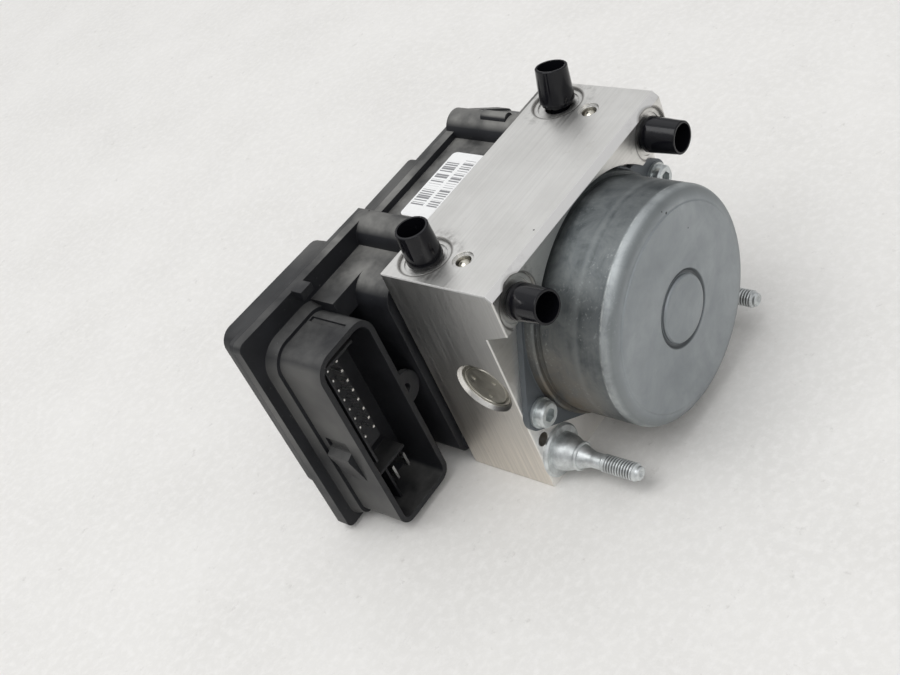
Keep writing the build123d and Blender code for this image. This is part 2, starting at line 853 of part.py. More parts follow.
# ================================================================ low-pressure accumulators
accumulator_top = accumulator_bore_height - face_gap
piston_floor = accumulator_top - accumulator_piston_height
cover_top = accumulator_cover_recess + accumulator_cover_thickness
cover_dish = accumulator_cover_recess + accumulator_cover_thickness / 2
groove_height = piston_floor + accumulator_piston_height / 2
groove_depth = accumulator_seal_wire - 2 * seat_gap
for name, side in sides.items():
    accumulator_section = upright(side * accumulator_across, accumulator_depth)
    accumulator_axis = spin_axis(accumulator_section)

    # Cup-shaped piston, open downwards over its spring, with a groove for its seal.
    with BuildPart() as accumulator_piston:
        with BuildSketch(accumulator_section):
            with BuildLine():
                Polyline(
                    (0, accumulator_top),
                    (accumulator_radius - edge_break, accumulator_top),
                    (accumulator_radius, accumulator_top - edge_break),
                    (accumulator_radius, groove_height + accumulator_seal_wire / 2),
                    (accumulator_radius - groove_depth, groove_height + accumulator_seal_wire / 2),
                    (accumulator_radius - groove_depth, groove_height - accumulator_seal_wire / 2),
                    (accumulator_radius, groove_height - accumulator_seal_wire / 2),
                    (accumulator_radius, piston_floor),
                    (accumulator_spring_radius + accumulator_spring_wire, piston_floor),
                    (
                        accumulator_spring_radius + accumulator_spring_wire,
                        groove_height - accumulator_seal_wire / 2 - accumulator_piston_wall / 2,
                    ),
                    (0, groove_height - accumulator_seal_wire / 2 - accumulator_piston_wall / 2),
                    close=True,
                )
            make_face()
        revolve(axis=accumulator_axis)
    accumulator_piston.part.label = f"accumulator_piston_{name}"
    export_step(accumulator_piston.part, f"parts/accumulator_piston_{name}.step")

    # Rubber ring in the piston's groove.
    seal_centre = accumulator_radius - groove_depth / 2
    with BuildPart() as accumulator_seal:
        with BuildSketch(accumulator_section):
            with Locations((seal_centre, groove_height)):
                Circle(groove_depth / 2 - seat_gap)
        revolve(axis=accumulator_axis)
    accumulator_seal.part.label = f"accumulator_seal_{name}"
    export_step(accumulator_seal.part, f"parts/accumulator_seal_{name}.step")

# Pressed steel covers, staked into the bottom face.
with BuildPart() as accumulator_covers:
    for side in sides.values():
        cover_section = upright(side * accumulator_across, accumulator_depth)
        with BuildSketch(cover_section):
            with BuildLine():
                Polyline(
                    (0, cover_dish),
                    (accumulator_spring_radius - edge_break, cover_dish),
                    (accumulator_spring_radius, accumulator_cover_recess),
                    (accumulator_radius, accumulator_cover_recess),
                    (accumulator_radius, cover_top),
                    (0, cover_top),
                    close=True,
                )
            make_face()
        revolve(axis=spin_axis(cover_section))
accumulator_covers.part.label = "accumulator_covers"
export_step(accumulator_covers.part, "parts/accumulator_covers.step")

# Springs between cover and piston.
piston_roof = groove_height - accumulator_seal_wire / 2 - accumulator_piston_wall / 2
accumulator_spring_room = piston_roof - cover_top - 2 * seat_gap
with BuildPart() as accumulator_springs:
    for side in sides.values():
        spring_foot = (
            side * accumulator_across,
            back_y - accumulator_depth,
            cover_top + seat_gap + accumulator_spring_wire / 2,
        )
        with BuildLine():
            accumulator_coil = Helix(
                pitch=(accumulator_spring_room - accumulator_spring_wire) / accumulator_spring_turns,
                height=accumulator_spring_room - accumulator_spring_wire,
                radius=accumulator_spring_radius,
                center=spring_foot,
            )
        with BuildSketch(Plane(origin=accumulator_coil @ 0, z_dir=accumulator_coil % 0)):
            RegularPolygon(accumulator_spring_wire / 2, 6)
        sweep(path=accumulator_coil, is_frenet=True)
accumulator_springs.part.label = "accumulator_springs"
export_step(accumulator_springs.part, "parts/accumulator_springs.step")

# ================================================================ solenoid valves
# Inlet valves stand open: their spring lies round the pin and the coil pulls the armature in
# towards the block. Outlet valves stand closed: their spring lies behind the armature.
guide_inner = valve_guide_radius - valve_guide_wall
armature_radius = guide_inner - running_gap
armature_room = armature_length + armature_stroke + 2 * running_gap
guide_end = valve_guide_length - valve_guide_wall
armature_front = guide_end - armature_room - valve_spring_room


def valve_lift(name):
    """How far the valve's pin stands off its seat at rest."""
    return armature_stroke + running_gap if name.startswith("inlet") else running_gap


def armature_rest(name):
    """Where the armature's front end rests in the guide tube."""
    spring_in_front = valve_spring_room if name.startswith("inlet") else 0
    return armature_front + spring_in_front + valve_lift(name)


for name, (across, height) in valve_places.items():
    valve_section = inward(across, height)
    valve_axis = spin_axis(valve_section)
    lift = valve_lift(name)

    # Turned cartridge with the thin guide tube that the coil slips over.
    with BuildPart() as valve_cartridge:
        with BuildSketch(valve_section):
            with BuildLine():
                Polyline(
                    (pin_radius + running_gap, armature_front),
                    (guide_inner, armature_front),
                    (guide_inner, guide_end),
                    (0, guide_end),
                    (0, valve_guide_length),
                    (valve_guide_radius - edge_break, valve_guide_length),
                    (valve_guide_radius, valve_guide_length - edge_break),
                    (valve_guide_radius, 0),
                    (valve_radius, -edge_break),
                    (valve_radius, -valve_bore_depth / 2),
                    (valve_guide_radius, -valve_bore_depth / 2),
                    (valve_guide_radius, -valve_bore_depth + seat_gap),
                    (valve_seat_hole, -valve_bore_depth + seat_gap),
                    (valve_seat_hole, -valve_bore_depth + valve_seat_depth),
                    (pin_radius + running_gap, -valve_bore_depth + valve_seat_depth),
                    close=True,
                )
            make_face()
        revolve(axis=valve_axis)
    valve_cartridge.part.label = name
    export_step(valve_cartridge.part, f"parts/{name}.step")

    # Armature with its pin, which closes on the seat at the cartridge's inner end.
    armature_start = armature_rest(name)
    pin_end = -valve_bore_depth + valve_seat_depth + lift
    with BuildPart() as armature:
        with BuildSketch(valve_section):
            with BuildLine():
                Polyline(
                    (0, pin_end),
                    (pin_radius / 2, pin_end),
                    (pin_radius, pin_end + edge_break),
                    (pin_radius, armature_start),
                    (armature_radius, armature_start),
                    (armature_radius, armature_start + armature_length),
                    (0, armature_start + armature_length),
                    close=True,
                )
            make_face()
        revolve(axis=valve_axis)
    armature_name = name.replace("valve", "armature")
    armature.part.label = armature_name
    export_step(armature.part, f"parts/{armature_name}.step")

    # Encapsulated coil on its bobbin, with two leads up to the circuit board.
    coil_start = box_rim_thickness + seal_thickness + face_gap
    coil_end = coil_start + coil_length
    with BuildPart() as coil:
        with BuildSketch(valve_section):
            with BuildLine():
                Polyline(
                    (valve_guide_radius + seat_gap, coil_start),
                    (coil_radius, coil_start),
                    (coil_radius, coil_start + coil_flange),
                    (coil_waist, coil_start + coil_flange),
                    (coil_waist, coil_end - coil_flange),
                    (coil_radius, coil_end - coil_flange),
                    (coil_radius, coil_end),
                    (valve_guide_radius + seat_gap, coil_end),
                    close=True,
                )
            make_face()
        revolve(axis=valve_axis)
        with BuildSketch(back_point(across, coil_end, height)):
            lead_across = valve_guide_radius + coil_lead_across / 2
            with Locations((-lead_across, 0), (lead_across, 0)):
                Circle(coil_lead_radius)
        extrude(amount=board_front - coil_end)
    coil_name = name.replace("valve", "coil")
    coil.part.label = coil_name
    export_step(coil.part, f"parts/{coil_name}.step")

# Small return springs, in front of the inlet armatures and behind the outlet ones.
with BuildPart() as valve_springs:
    for name, (across, height) in valve_places.items():
        inlet_spring = (armature_front, armature_rest(name))
        outlet_spring = (armature_rest(name) + armature_length, guide_end)
        ends = inlet_spring if name.startswith("inlet") else outlet_spring
        spring_start = ends[0] + seat_gap
        spring_room = ends[1] - spring_start - seat_gap
        with BuildLine():
            valve_coil = Helix(
                pitch=(spring_room - valve_spring_wire) / valve_spring_turns,
                height=spring_room - valve_spring_wire,
                radius=valve_spring_radius,
                center=(across, back_y + spring_start + valve_spring_wire / 2, height),
                direction=(0, 1, 0),
            )
        with BuildSketch(Plane(origin=valve_coil @ 0, z_dir=valve_coil % 0)):
            RegularPolygon(valve_spring_wire / 2, 4)
        sweep(path=valve_coil, is_frenet=True)
valve_springs.part.label = "valve_springs"
export_step(valve_springs.part, "parts/valve_springs.step")

# ================================================================ mounting studs
with BuildPart() as mounting_studs:
    for side in sides.values():
        stud_section = outward(side * stud_across, stud_height)
        stud_face = foot_depth
        flange_front = stud_face + stud_flange_thickness
        bell_end = flange_front + stud_bell_length
        bell_middle = (stud_bell_radius + stud_bell_neck - edge_break) / 2
        collar_end = bell_end + stud_collar_length
        tip_end = stud_face + stud_reach
        thread_start = tip_end - stud_thread_length
        with BuildSketch(stud_section):
            with BuildLine():
                Polyline(
                    (0, stud_face - stud_root_depth + seat_gap),
                    (stud_thread_radius, stud_face - stud_root_depth + seat_gap),
                    (stud_thread_radius, stud_face),
                    (stud_flange_radius, stud_face),
                    (stud_flange_radius, flange_front - edge_break),
                    (stud_flange_radius - edge_break, flange_front),
                    (stud_bell_radius, flange_front),
                )
                ThreePointArc(
                    (stud_bell_radius, flange_front),
                    (bell_middle + edge_break, flange_front + stud_bell_length / 2),
                    (stud_bell_neck - edge_break, bell_end),
                )
                Polyline(
                    (stud_bell_neck - edge_break, bell_end),
                    (stud_collar_radius - fine_break, bell_end + fine_break),
                    (stud_collar_radius, bell_end + 2 * fine_break),
                    (stud_collar_radius, collar_end - fine_break),
                    (stud_collar_radius - fine_break, collar_end),
                    (stud_cone_radius, collar_end),
                    (stud_shank_radius, collar_end + stud_cone_length),
                    (stud_shank_radius, thread_start - edge_break),
                    (stud_thread_radius, thread_start),
                    (stud_thread_radius, tip_end - stud_tip_length),
                    (stud_tip_radius, tip_end - stud_tip_length + edge_break),
                    (stud_tip_radius, tip_end - fine_break),
                    (stud_tip_radius - fine_break, tip_end),
                    (stud_tip_recess_radius, tip_end),
                    (0, tip_end - stud_tip_recess_depth),
                    (0, stud_face - stud_root_depth + seat_gap),
                )
            make_face()
        revolve(axis=spin_axis(stud_section))
mounting_studs.part.label = "mounting_studs"
export_step(mounting_studs.part, "parts/mounting_studs.step")

# ================================================================ pump motor
# Deep-drawn steel can with its screw flange.
can_inner = can_radius - can_wall
flange_front = foot_depth + flange_thickness
shoulder_front = flange_front + shoulder_length
with BuildPart() as motor_can:
    with BuildSketch(front_face(foot_depth)):
        with Locations((0, motor_axis_height)):
            Circle(flange_radius)
        with Locations(*motor_screw_places):
            Circle(ear_radius)
        make_hull()
        with Locations((0, foot_height + flange_radius - face_gap)):
            Rectangle(2 * block_length, 2 * flange_radius, mode=Mode.SUBTRACT)
        with Locations((0, motor_axis_height)):
            Circle(flange_radius)
    extrude(amount=flange_thickness)
    with BuildSketch(motor_section):
        with BuildLine():
            Polyline(
                (can_inner, foot_depth),
                (can_radius + edge_break, foot_depth),
                (shoulder_radius, flange_front),
                (shoulder_radius, shoulder_front - edge_break),
                (shoulder_radius - edge_break, shoulder_front),
                (can_radius - shoulder_groove / 2, shoulder_front),
                (can_radius - shoulder_groove / 2, shoulder_front + shoulder_groove),
                (can_radius, shoulder_front + 2 * shoulder_groove),
                (can_radius, can_front - can_corner),
            )
            RadiusArc(
                (can_radius, can_front - can_corner),
                (can_radius - can_corner, can_front),
                -can_corner,
            )
            Polyline(
                (can_radius - can_corner, can_front),
                (plateau_radius + plateau_rise, can_front),
                (plateau_radius, plateau_front),
                (button_radius + button_groove_width, plateau_front),
                (button_radius + button_groove_width / 2, plateau_front - button_groove_depth),
                (button_radius, plateau_front - button_groove_depth),
                (button_radius, plateau_front + button_rise - 2 * plateau_rise),
                (button_radius - plateau_rise, plateau_front + button_rise - plateau_rise / 2),
                (button_radius - 3 * plateau_rise, plateau_front + button_rise),
                (0, plateau_front + button_rise),
                (0, plateau_front + button_rise - can_wall),
                (bush_radius + seat_gap, plateau_front + button_rise - can_wall),
                (bush_radius + seat_gap, bush_back),
                (bush_radius + can_wall, bush_back),
                (bush_radius + can_wall, can_front - can_wall),
                (can_inner - can_corner + can_wall, can_front - can_wall),
                (can_inner, can_front - can_corner),
                (can_inner, foot_depth),
            )
        make_face()
    revolve(axis=spin_axis(motor_section))
    with BuildSketch(front_face(foot_depth)):
        with Locations((0, motor_axis_height)):
            Circle(can_inner)
    extrude(amount=flange_thickness, mode=Mode.SUBTRACT)
    for across, height in motor_screw_places:
        with Locations(front_point(across, flange_front, height)):
            Hole(motor_screw_radius + running_gap, depth=2 * flange_thickness)
motor_can.part.label = "motor_can"
export_step(motor_can.part, "parts/motor_can.step")

# Socket-head screws through the flange's ears.
with BuildPart() as motor_screws:
    for across, height in motor_screw_places:
        screw_section = outward(across, height)
        head_front = flange_front + motor_screw_head_height
        with BuildSketch(screw_section):
            with BuildLine():
                Polyline(
                    (0, foot_depth - motor_screw_depth + seat_gap),
                    (motor_screw_radius, foot_depth - motor_screw_depth + seat_gap),
                    (motor_screw_radius, flange_front),
                    (motor_screw_washer_radius, flange_front),
                    (motor_screw_washer_radius, flange_front + motor_screw_washer_height),
                    (motor_screw_head_radius, flange_front + motor_screw_washer_height),
                    (motor_screw_head_radius, head_front - edge_break),
                    (motor_screw_head_radius - edge_break, head_front),
                    (0, head_front),
                    close=True,
                )
            make_face()
        revolve(axis=spin_axis(screw_section))
        with BuildSketch(front_point(across, head_front, height)):
            RegularPolygon(socket_radius, 6)
        extrude(amount=-socket_depth, mode=Mode.SUBTRACT)
motor_screws.part.label = "motor_screws"
export_step(motor_screws.part, "parts/motor_screws.step")

# Steel shield that closes the can and carries the ball bearing in its hub.
with BuildPart() as bearing_shield:
    with BuildSketch(motor_section):
        with BuildLine():
            Polyline(
                (bearing_radius + seat_gap, shield_front),
                (can_inner - seat_gap, shield_front),
                (can_inner - seat_gap, foot_depth + seat_gap),
                (hub_radius, foot_depth + seat_gap),
                (hub_radius, hub_back),
                (bearing_radius - bearing_ring_wall, hub_back),
                (bearing_radius - bearing_ring_wall, bearing_back - seat_gap),
                (bearing_radius + seat_gap, bearing_back - seat_gap),
                close=True,
            )
        make_face()
    revolve(axis=spin_axis(motor_section))
    with Locations(front_point(0, shield_front, lead_height)):
        Hole(lead_radius + seat_gap, depth=2 * shield_thickness)
bearing_shield.part.label = "bearing_shield"
export_step(bearing_shield.part, "parts/bearing_shield.step")

# Curved ferrite magnets, clipped inside the can.
with BuildPart() as field_magnets:
    with BuildSketch(front_face(magnet_back)):
        with Locations((0, motor_axis_height)):
            Circle(magnet_outer)
            Circle(magnet_inner, mode=Mode.SUBTRACT)
            with PolarLocations(magnet_outer, magnet_count):
                Rectangle(2 * magnet_outer, magnet_spacing, mode=Mode.SUBTRACT)
    extrude(amount=magnet_length)
field_magnets.part.label = "field_magnets"
export_step(field_magnets.part, "parts/field_magnets.step")

# Sintered bushes for the shaft's ends: one in the can's button, one below the eccentric.
with BuildPart() as shaft_bushes:
    bush_bore = journal_radius + running_gap
    for bush_middle in (bush_back + journal_length / 2, tail_back + journal_length / 2):
        with BuildSketch(motor_section):
            with Locations(((bush_bore + bush_radius) / 2, bush_middle)):
                Rectangle(bush_radius - bush_bore, journal_length)
        revolve(axis=spin_axis(motor_section))
shaft_bushes.part.label = "shaft_bushes"
export_step(shaft_bushes.part, "parts/shaft_bushes.step")

# Ground shaft with the eccentric that drives both pump pistons.
eccentric_section = outward(0, motor_axis_height + eccentricity)
with BuildPart() as motor_shaft:
    with BuildSketch(motor_section):
        with BuildLine():
            Polyline(
                (0, tail_back + face_gap),
                (journal_radius, tail_back + face_gap),
                (journal_radius, ring_back - face_gap),
                (shaft_radius, ring_back - face_gap),
                (shaft_radius, bearing_back),
                (bearing_bore, bearing_back),
                (bearing_bore, bearing_front),
                (shaft_radius, bearing_front),
                (shaft_radius, bush_back - core_face_gap),
                (journal_radius, bush_back - core_face_gap),
                (journal_radius, shaft_front),
                (0, shaft_front),
                close=True,
            )
        make_face()
    revolve(axis=spin_axis(motor_section))
    with BuildSketch(eccentric_section):
        with Locations((eccentric_radius / 2, pump_depth)):
            Rectangle(eccentric_radius, eccentric_ring_width + 2 * face_gap)
    revolve(axis=spin_axis(eccentric_section))
motor_shaft.part.label = "motor_shaft"
export_step(motor_shaft.part, "parts/motor_shaft.step")

# Ring that runs on the eccentric, orbits with it and bears on the pistons.
with BuildPart() as eccentric_ring:
    with BuildSketch(eccentric_section):
        ring_inner = eccentric_radius + running_gap
        with Locations(((ring_inner + eccentric_ring_radius) / 2, pump_depth)):
            Rectangle(eccentric_ring_radius - ring_inner, eccentric_ring_width)
    revolve(axis=spin_axis(eccentric_section))
eccentric_ring.part.label = "eccentric_ring"
export_step(eccentric_ring.part, "parts/eccentric_ring.step")

# Ball bearing: rings with a ground track, and the balls between them.
ball_track = (bearing_bore + bearing_radius) / 2
ball_radius = (bearing_radius - bearing_bore) / 2 - bearing_ring_wall + edge_break
bearing_middle = (bearing_front + bearing_back) / 2
ring_height = bearing_width - 2 * seat_gap
with BuildPart() as bearing_outer_ring:
    with BuildSketch(motor_section):
        with Locations((bearing_radius - bearing_ring_wall / 2, bearing_middle)):
            Rectangle(bearing_ring_wall, ring_height)
        with Locations((ball_track, bearing_middle)):
            Circle(ball_radius + ball_gap, mode=Mode.SUBTRACT)
    revolve(axis=spin_axis(motor_section))
bearing_outer_ring.part.label = "bearing_outer_ring"
export_step(bearing_outer_ring.part, "parts/bearing_outer_ring.step")

with BuildPart() as bearing_inner_ring:
    with BuildSketch(motor_section):
        with Locations((bearing_bore + seat_gap + bearing_ring_wall / 2, bearing_middle)):
            Rectangle(bearing_ring_wall, ring_height)
        with Locations((ball_track, bearing_middle)):
            Circle(ball_radius + ball_gap, mode=Mode.SUBTRACT)
    revolve(axis=spin_axis(motor_section))
bearing_inner_ring.part.label = "bearing_inner_ring"
export_step(bearing_inner_ring.part, "parts/bearing_inner_ring.step")

with BuildPart() as bearing_balls:
    with Locations(front_point(0, bearing_middle, motor_axis_height)):
        with PolarLocations(ball_track, ball_count):
            Sphere(ball_radius)
bearing_balls.part.label = "bearing_balls"
export_step(bearing_balls.part, "parts/bearing_balls.step")

# Laminated rotor core with open slots.
slot_bottom = core_radius - slot_depth
with BuildPart() as rotor_core:
    with BuildSketch(front_face(core_back)):
        with Locations((0, motor_axis_height)):
            Circle(core_radius)
            Circle(shaft_radius + seat_gap, mode=Mode.SUBTRACT)
            with PolarLocations((slot_bottom + core_radius + slot_width) / 2, core_slots):
                Rectangle(slot_depth + slot_width, slot_width, mode=Mode.SUBTRACT)
    extrude(amount=core_length)
rotor_core.part.label = "rotor_core"
export_step(rotor_core.part, "parts/rotor_core.step")

# Copper windings: a bundle in each slot, joined by the end turns.
bundle_outer = core_radius - air_gap
bundle_inner = slot_bottom + slot_bottom_gap
with BuildPart() as rotor_windings:
    with BuildSketch(front_face(core_back)):
        with Locations((0, motor_axis_height)):
            with PolarLocations((bundle_inner + bundle_outer) / 2, core_slots):
                Rectangle(bundle_outer - bundle_inner, slot_width - 2 * slot_bottom_gap)
    extrude(amount=core_length)
    for end_turn_back in (core_back - end_turn_length, core_front):
        with BuildSketch(front_face(end_turn_back)):
            with Locations((0, motor_axis_height)):
                Circle(bundle_outer)
                Circle(bundle_inner, mode=Mode.SUBTRACT)
        extrude(amount=end_turn_length)
rotor_windings.part.label = "rotor_windings"
export_step(rotor_windings.part, "parts/rotor_windings.step")

# Commutator, grooved between its bars.
with BuildPart() as commutator:
    with BuildSketch(front_face(commutator_back)):
        with Locations((0, motor_axis_height)):
            Circle(commutator_radius)
            Circle(shaft_radius + seat_gap, mode=Mode.SUBTRACT)
            with PolarLocations(commutator_radius, commutator_bars):
                Rectangle(2 * bar_gap, bar_gap, mode=Mode.SUBTRACT)
    extrude(amount=commutator_length)
commutator.part.label = "commutator"
export_step(commutator.part, "parts/commutator.step")

# Brush plate with two brush boxes that stand either side of the commutator.
brush_start = commutator_radius + running_gap
box_start = brush_start + 2 * brush_box_wall
box_end = brush_start + brush_length + brush_spring_length + 2 * brush_box_wall
brush_middle = commutator_back + brush_plate_thickness / 2 + brush_box_wall + brush_height / 2
plate_front = commutator_back + brush_plate_thickness / 2
brush_box_depth = brush_middle + brush_height / 2 + brush_box_wall - plate_front
with BuildPart() as brush_plate:
    with BuildSketch(front_face(shield_front)):
        with Locations((0, motor_axis_height)):
            Circle(can_inner - seat_gap)
            Circle(commutator_radius + 2 * face_gap, mode=Mode.SUBTRACT)
    extrude(amount=plate_front - shield_front)
    with BuildSketch(front_face(plate_front)):
        with Locations((0, motor_axis_height)):
            with PolarLocations((box_start + box_end) / 2, 2):
                Rectangle(box_end - box_start, brush_width + 2 * (brush_box_wall + seat_gap))
    extrude(amount=brush_box_depth)
    with BuildSketch(front_face(brush_middle - brush_height / 2 - seat_gap)):
        with Locations((0, motor_axis_height)):
            with PolarLocations((box_start + box_end) / 2 - brush_box_wall, 2):
                Rectangle(box_end - box_start, brush_width + 2 * seat_gap)
    extrude(amount=brush_height + 2 * seat_gap, mode=Mode.SUBTRACT)
    with Locations(front_point(0, plate_front, lead_height)):
        Hole(lead_radius + seat_gap, depth=brush_plate_thickness)
brush_plate.part.label = "brush_plate"
export_step(brush_plate.part, "parts/brush_plate.step")

# Carbon brushes, and the springs that press them on the commutator.
with BuildPart() as brushes:
    with BuildSketch(front_face(brush_middle - brush_height / 2)):
        with Locations((0, motor_axis_height)):
            with PolarLocations(brush_start + brush_length / 2, 2):
                Rectangle(brush_length, brush_width)
    extrude(amount=brush_height)
    with BuildSketch(motor_section):
        with Locations((brush_start / 2, brush_middle)):
            Rectangle(brush_start, 2 * brush_height)
    revolve(axis=spin_axis(motor_section), mode=Mode.SUBTRACT)
brushes.part.label = "brushes"
export_step(brushes.part, "parts/brushes.step")

with BuildPart() as brush_springs:
    for side in sides.values():
        spring_foot = side * (brush_start + brush_length + seat_gap + brush_spring_wire / 2)
        spring_room = brush_spring_length + brush_box_wall - 2 * seat_gap - brush_spring_wire
        with BuildLine():
            brush_coil = Helix(
                pitch=spring_room / brush_spring_turns,
                height=spring_room,
                radius=brush_spring_radius,
                center=(spring_foot, back_y - brush_middle, motor_axis_height),
                direction=(side, 0, 0),
            )
        with BuildSketch(Plane(origin=brush_coil @ 0, z_dir=brush_coil % 0)):
            RegularPolygon(brush_spring_wire / 2, 4)
        sweep(path=brush_coil, is_frenet=True)
brush_springs.part.label = "brush_springs"
export_step(brush_springs.part, "parts/brush_springs.step")

# Motor lead: an insulating stem through the block, with two contact pins.
lead_front = plate_front
with BuildPart() as motor_lead:
    with BuildSketch(front_face(0)):
        with Locations((0, lead_height)):
            Circle(lead_radius)
            with Locations((-lead_pin_spread / 2, 0), (lead_pin_spread / 2, 0)):
                Rectangle(
                    lead_pin_thickness + 2 * seat_gap,
                    lead_pin_width + 2 * seat_gap,
                    mode=Mode.SUBTRACT,
                )
    extrude(amount=lead_front)
motor_lead.part.label = "motor_lead"
export_step(motor_lead.part, "parts/motor_lead.step")

with BuildPart() as motor_lead_pins:
    with BuildSketch(front_face(lead_front)):
        with Locations((0, lead_height)):
            with Locations((-lead_pin_spread / 2, 0), (lead_pin_spread / 2, 0)):
                Rectangle(lead_pin_thickness, lead_pin_width)
    extrude(amount=-(lead_front + board_front))
motor_lead_pins.part.label = "motor_lead_pins"
export_step(motor_lead_pins.part, "parts/motor_lead_pins.step")


# ================================================================ control unit
def slab_area(inset):
    """The slab's outline pulled in by inset, stepped at the near post and cut off at the far end."""
    with BuildSketch(mode=Mode.PRIVATE) as area:
        with BuildLine():
            Polyline(
                (slab_near, slab_bottom),
                (slab_far, slab_bottom),
                (slab_far, block_height - far_cut_drop),
                (far_cut_start, rail_top),
                (slab_step, rail_top),
                (slab_step, slab_top - slab_fall),
                (slab_near, slab_top),
                close=True,
            )
        make_face()
        if inset:
            offset(amount=-inset, kind=Kind.INTERSECTION)
        by_across = area.vertices().sort_by(Axis.X)
        fillet(by_across[:2] + by_across[-3:], max(slab_corner - inset, edge_break))
    return area.sketch


def bulge_area(inset):
    """Outline of the deep bulge over the tall components, pulled in by inset."""
    top_near = slab_top - bulge_top_border
    with BuildSketch(mode=Mode.PRIVATE) as area:
        with BuildLine():
            Polyline(
                (bulge_near, slab_bottom + bulge_foot_border),
                (bulge_far, slab_bottom + bulge_foot_border),
                (bulge_far, top_near - slab_fall),
                (bulge_near, top_near),
                close=True,
            )
        make_face()
        if inset:
            offset(amount=-inset, kind=Kind.INTERSECTION)
        fillet(area.vertices(), bulge_corner - inset)
    return area.sketch


def hump_area(inset):
    """Outline of the shallow bulge beside the deep one, pulled in by inset."""
    hump_near = -post_near_across + unit_screw_head_radius + boss_wall
    with BuildSketch(mode=Mode.PRIVATE) as area:
        with Locations(((hump_near + hump_reach) / 2, rail_top - hump_border - hump_height / 2)):
            Rectangle(hump_reach - hump_near - 2 * inset, hump_height - 2 * inset)
        fillet(area.vertices(), max(hump_corner - inset, edge_break))
    return area.sketch


def box_area(inset):
    """The box's outline pulled in by inset, with wide top corners."""
    with BuildSketch(mode=Mode.PRIVATE) as area:
        with Locations((0, (box_bottom + box_top) / 2)):
            Rectangle(2 * (box_half_length - inset), box_top - box_bottom - 2 * inset)
        fillet(area.vertices().group_by(Axis.Y)[-1], box_corner - inset)
        fillet(area.vertices().group_by(Axis.Y)[0], box_foot_corner - inset)
    return area.sketch


def chamber_area(inset):
    """The box behind its rim, which stays inside the slab's cut-off far corner."""
    with BuildSketch(mode=Mode.PRIVATE) as area:
        add(box_area(inset))
        add(slab_area(inset + slab_overhang), mode=Mode.INTERSECT)
    return area.sketch


def shroud_area(inset):
    """The connector shroud's outline pulled in by inset, with tighter corners at its foot."""
    with BuildSketch(mode=Mode.PRIVATE) as area:
        with Locations(shroud_middle):
            Rectangle(shroud_width - 2 * inset, shroud_height - 2 * inset)
        fillet(area.vertices().group_by(Axis.Y)[-1], shroud_corner - inset)
        fillet(area.vertices().group_by(Axis.Y)[0], shroud_foot_corner - inset)
    return area.sketch


def sealed_area(inset):
    """Area inside the seal's outer edge, pulled in by inset and led round the screw posts."""
    with BuildSketch(mode=Mode.PRIVATE) as area:
        with Locations((0, (box_bottom + box_top) / 2)):
            RectangleRounded(
                2 * (half_length - seal_inset - inset),
                box_top - box_bottom - 2 * (seal_inset + inset),
                seal_corner - inset,
            )
        for across, height, radius in screw_posts:
            with Locations((across, height)):
                Circle(radius + seal_post_gap + inset, mode=Mode.SUBTRACT)
    return area.sketch


def unit_screw_circles(radius, mode=Mode.ADD):
    """A circle at each of the control unit's screws."""
    with Locations(*unit_screw_places):
        Circle(radius, mode=mode)


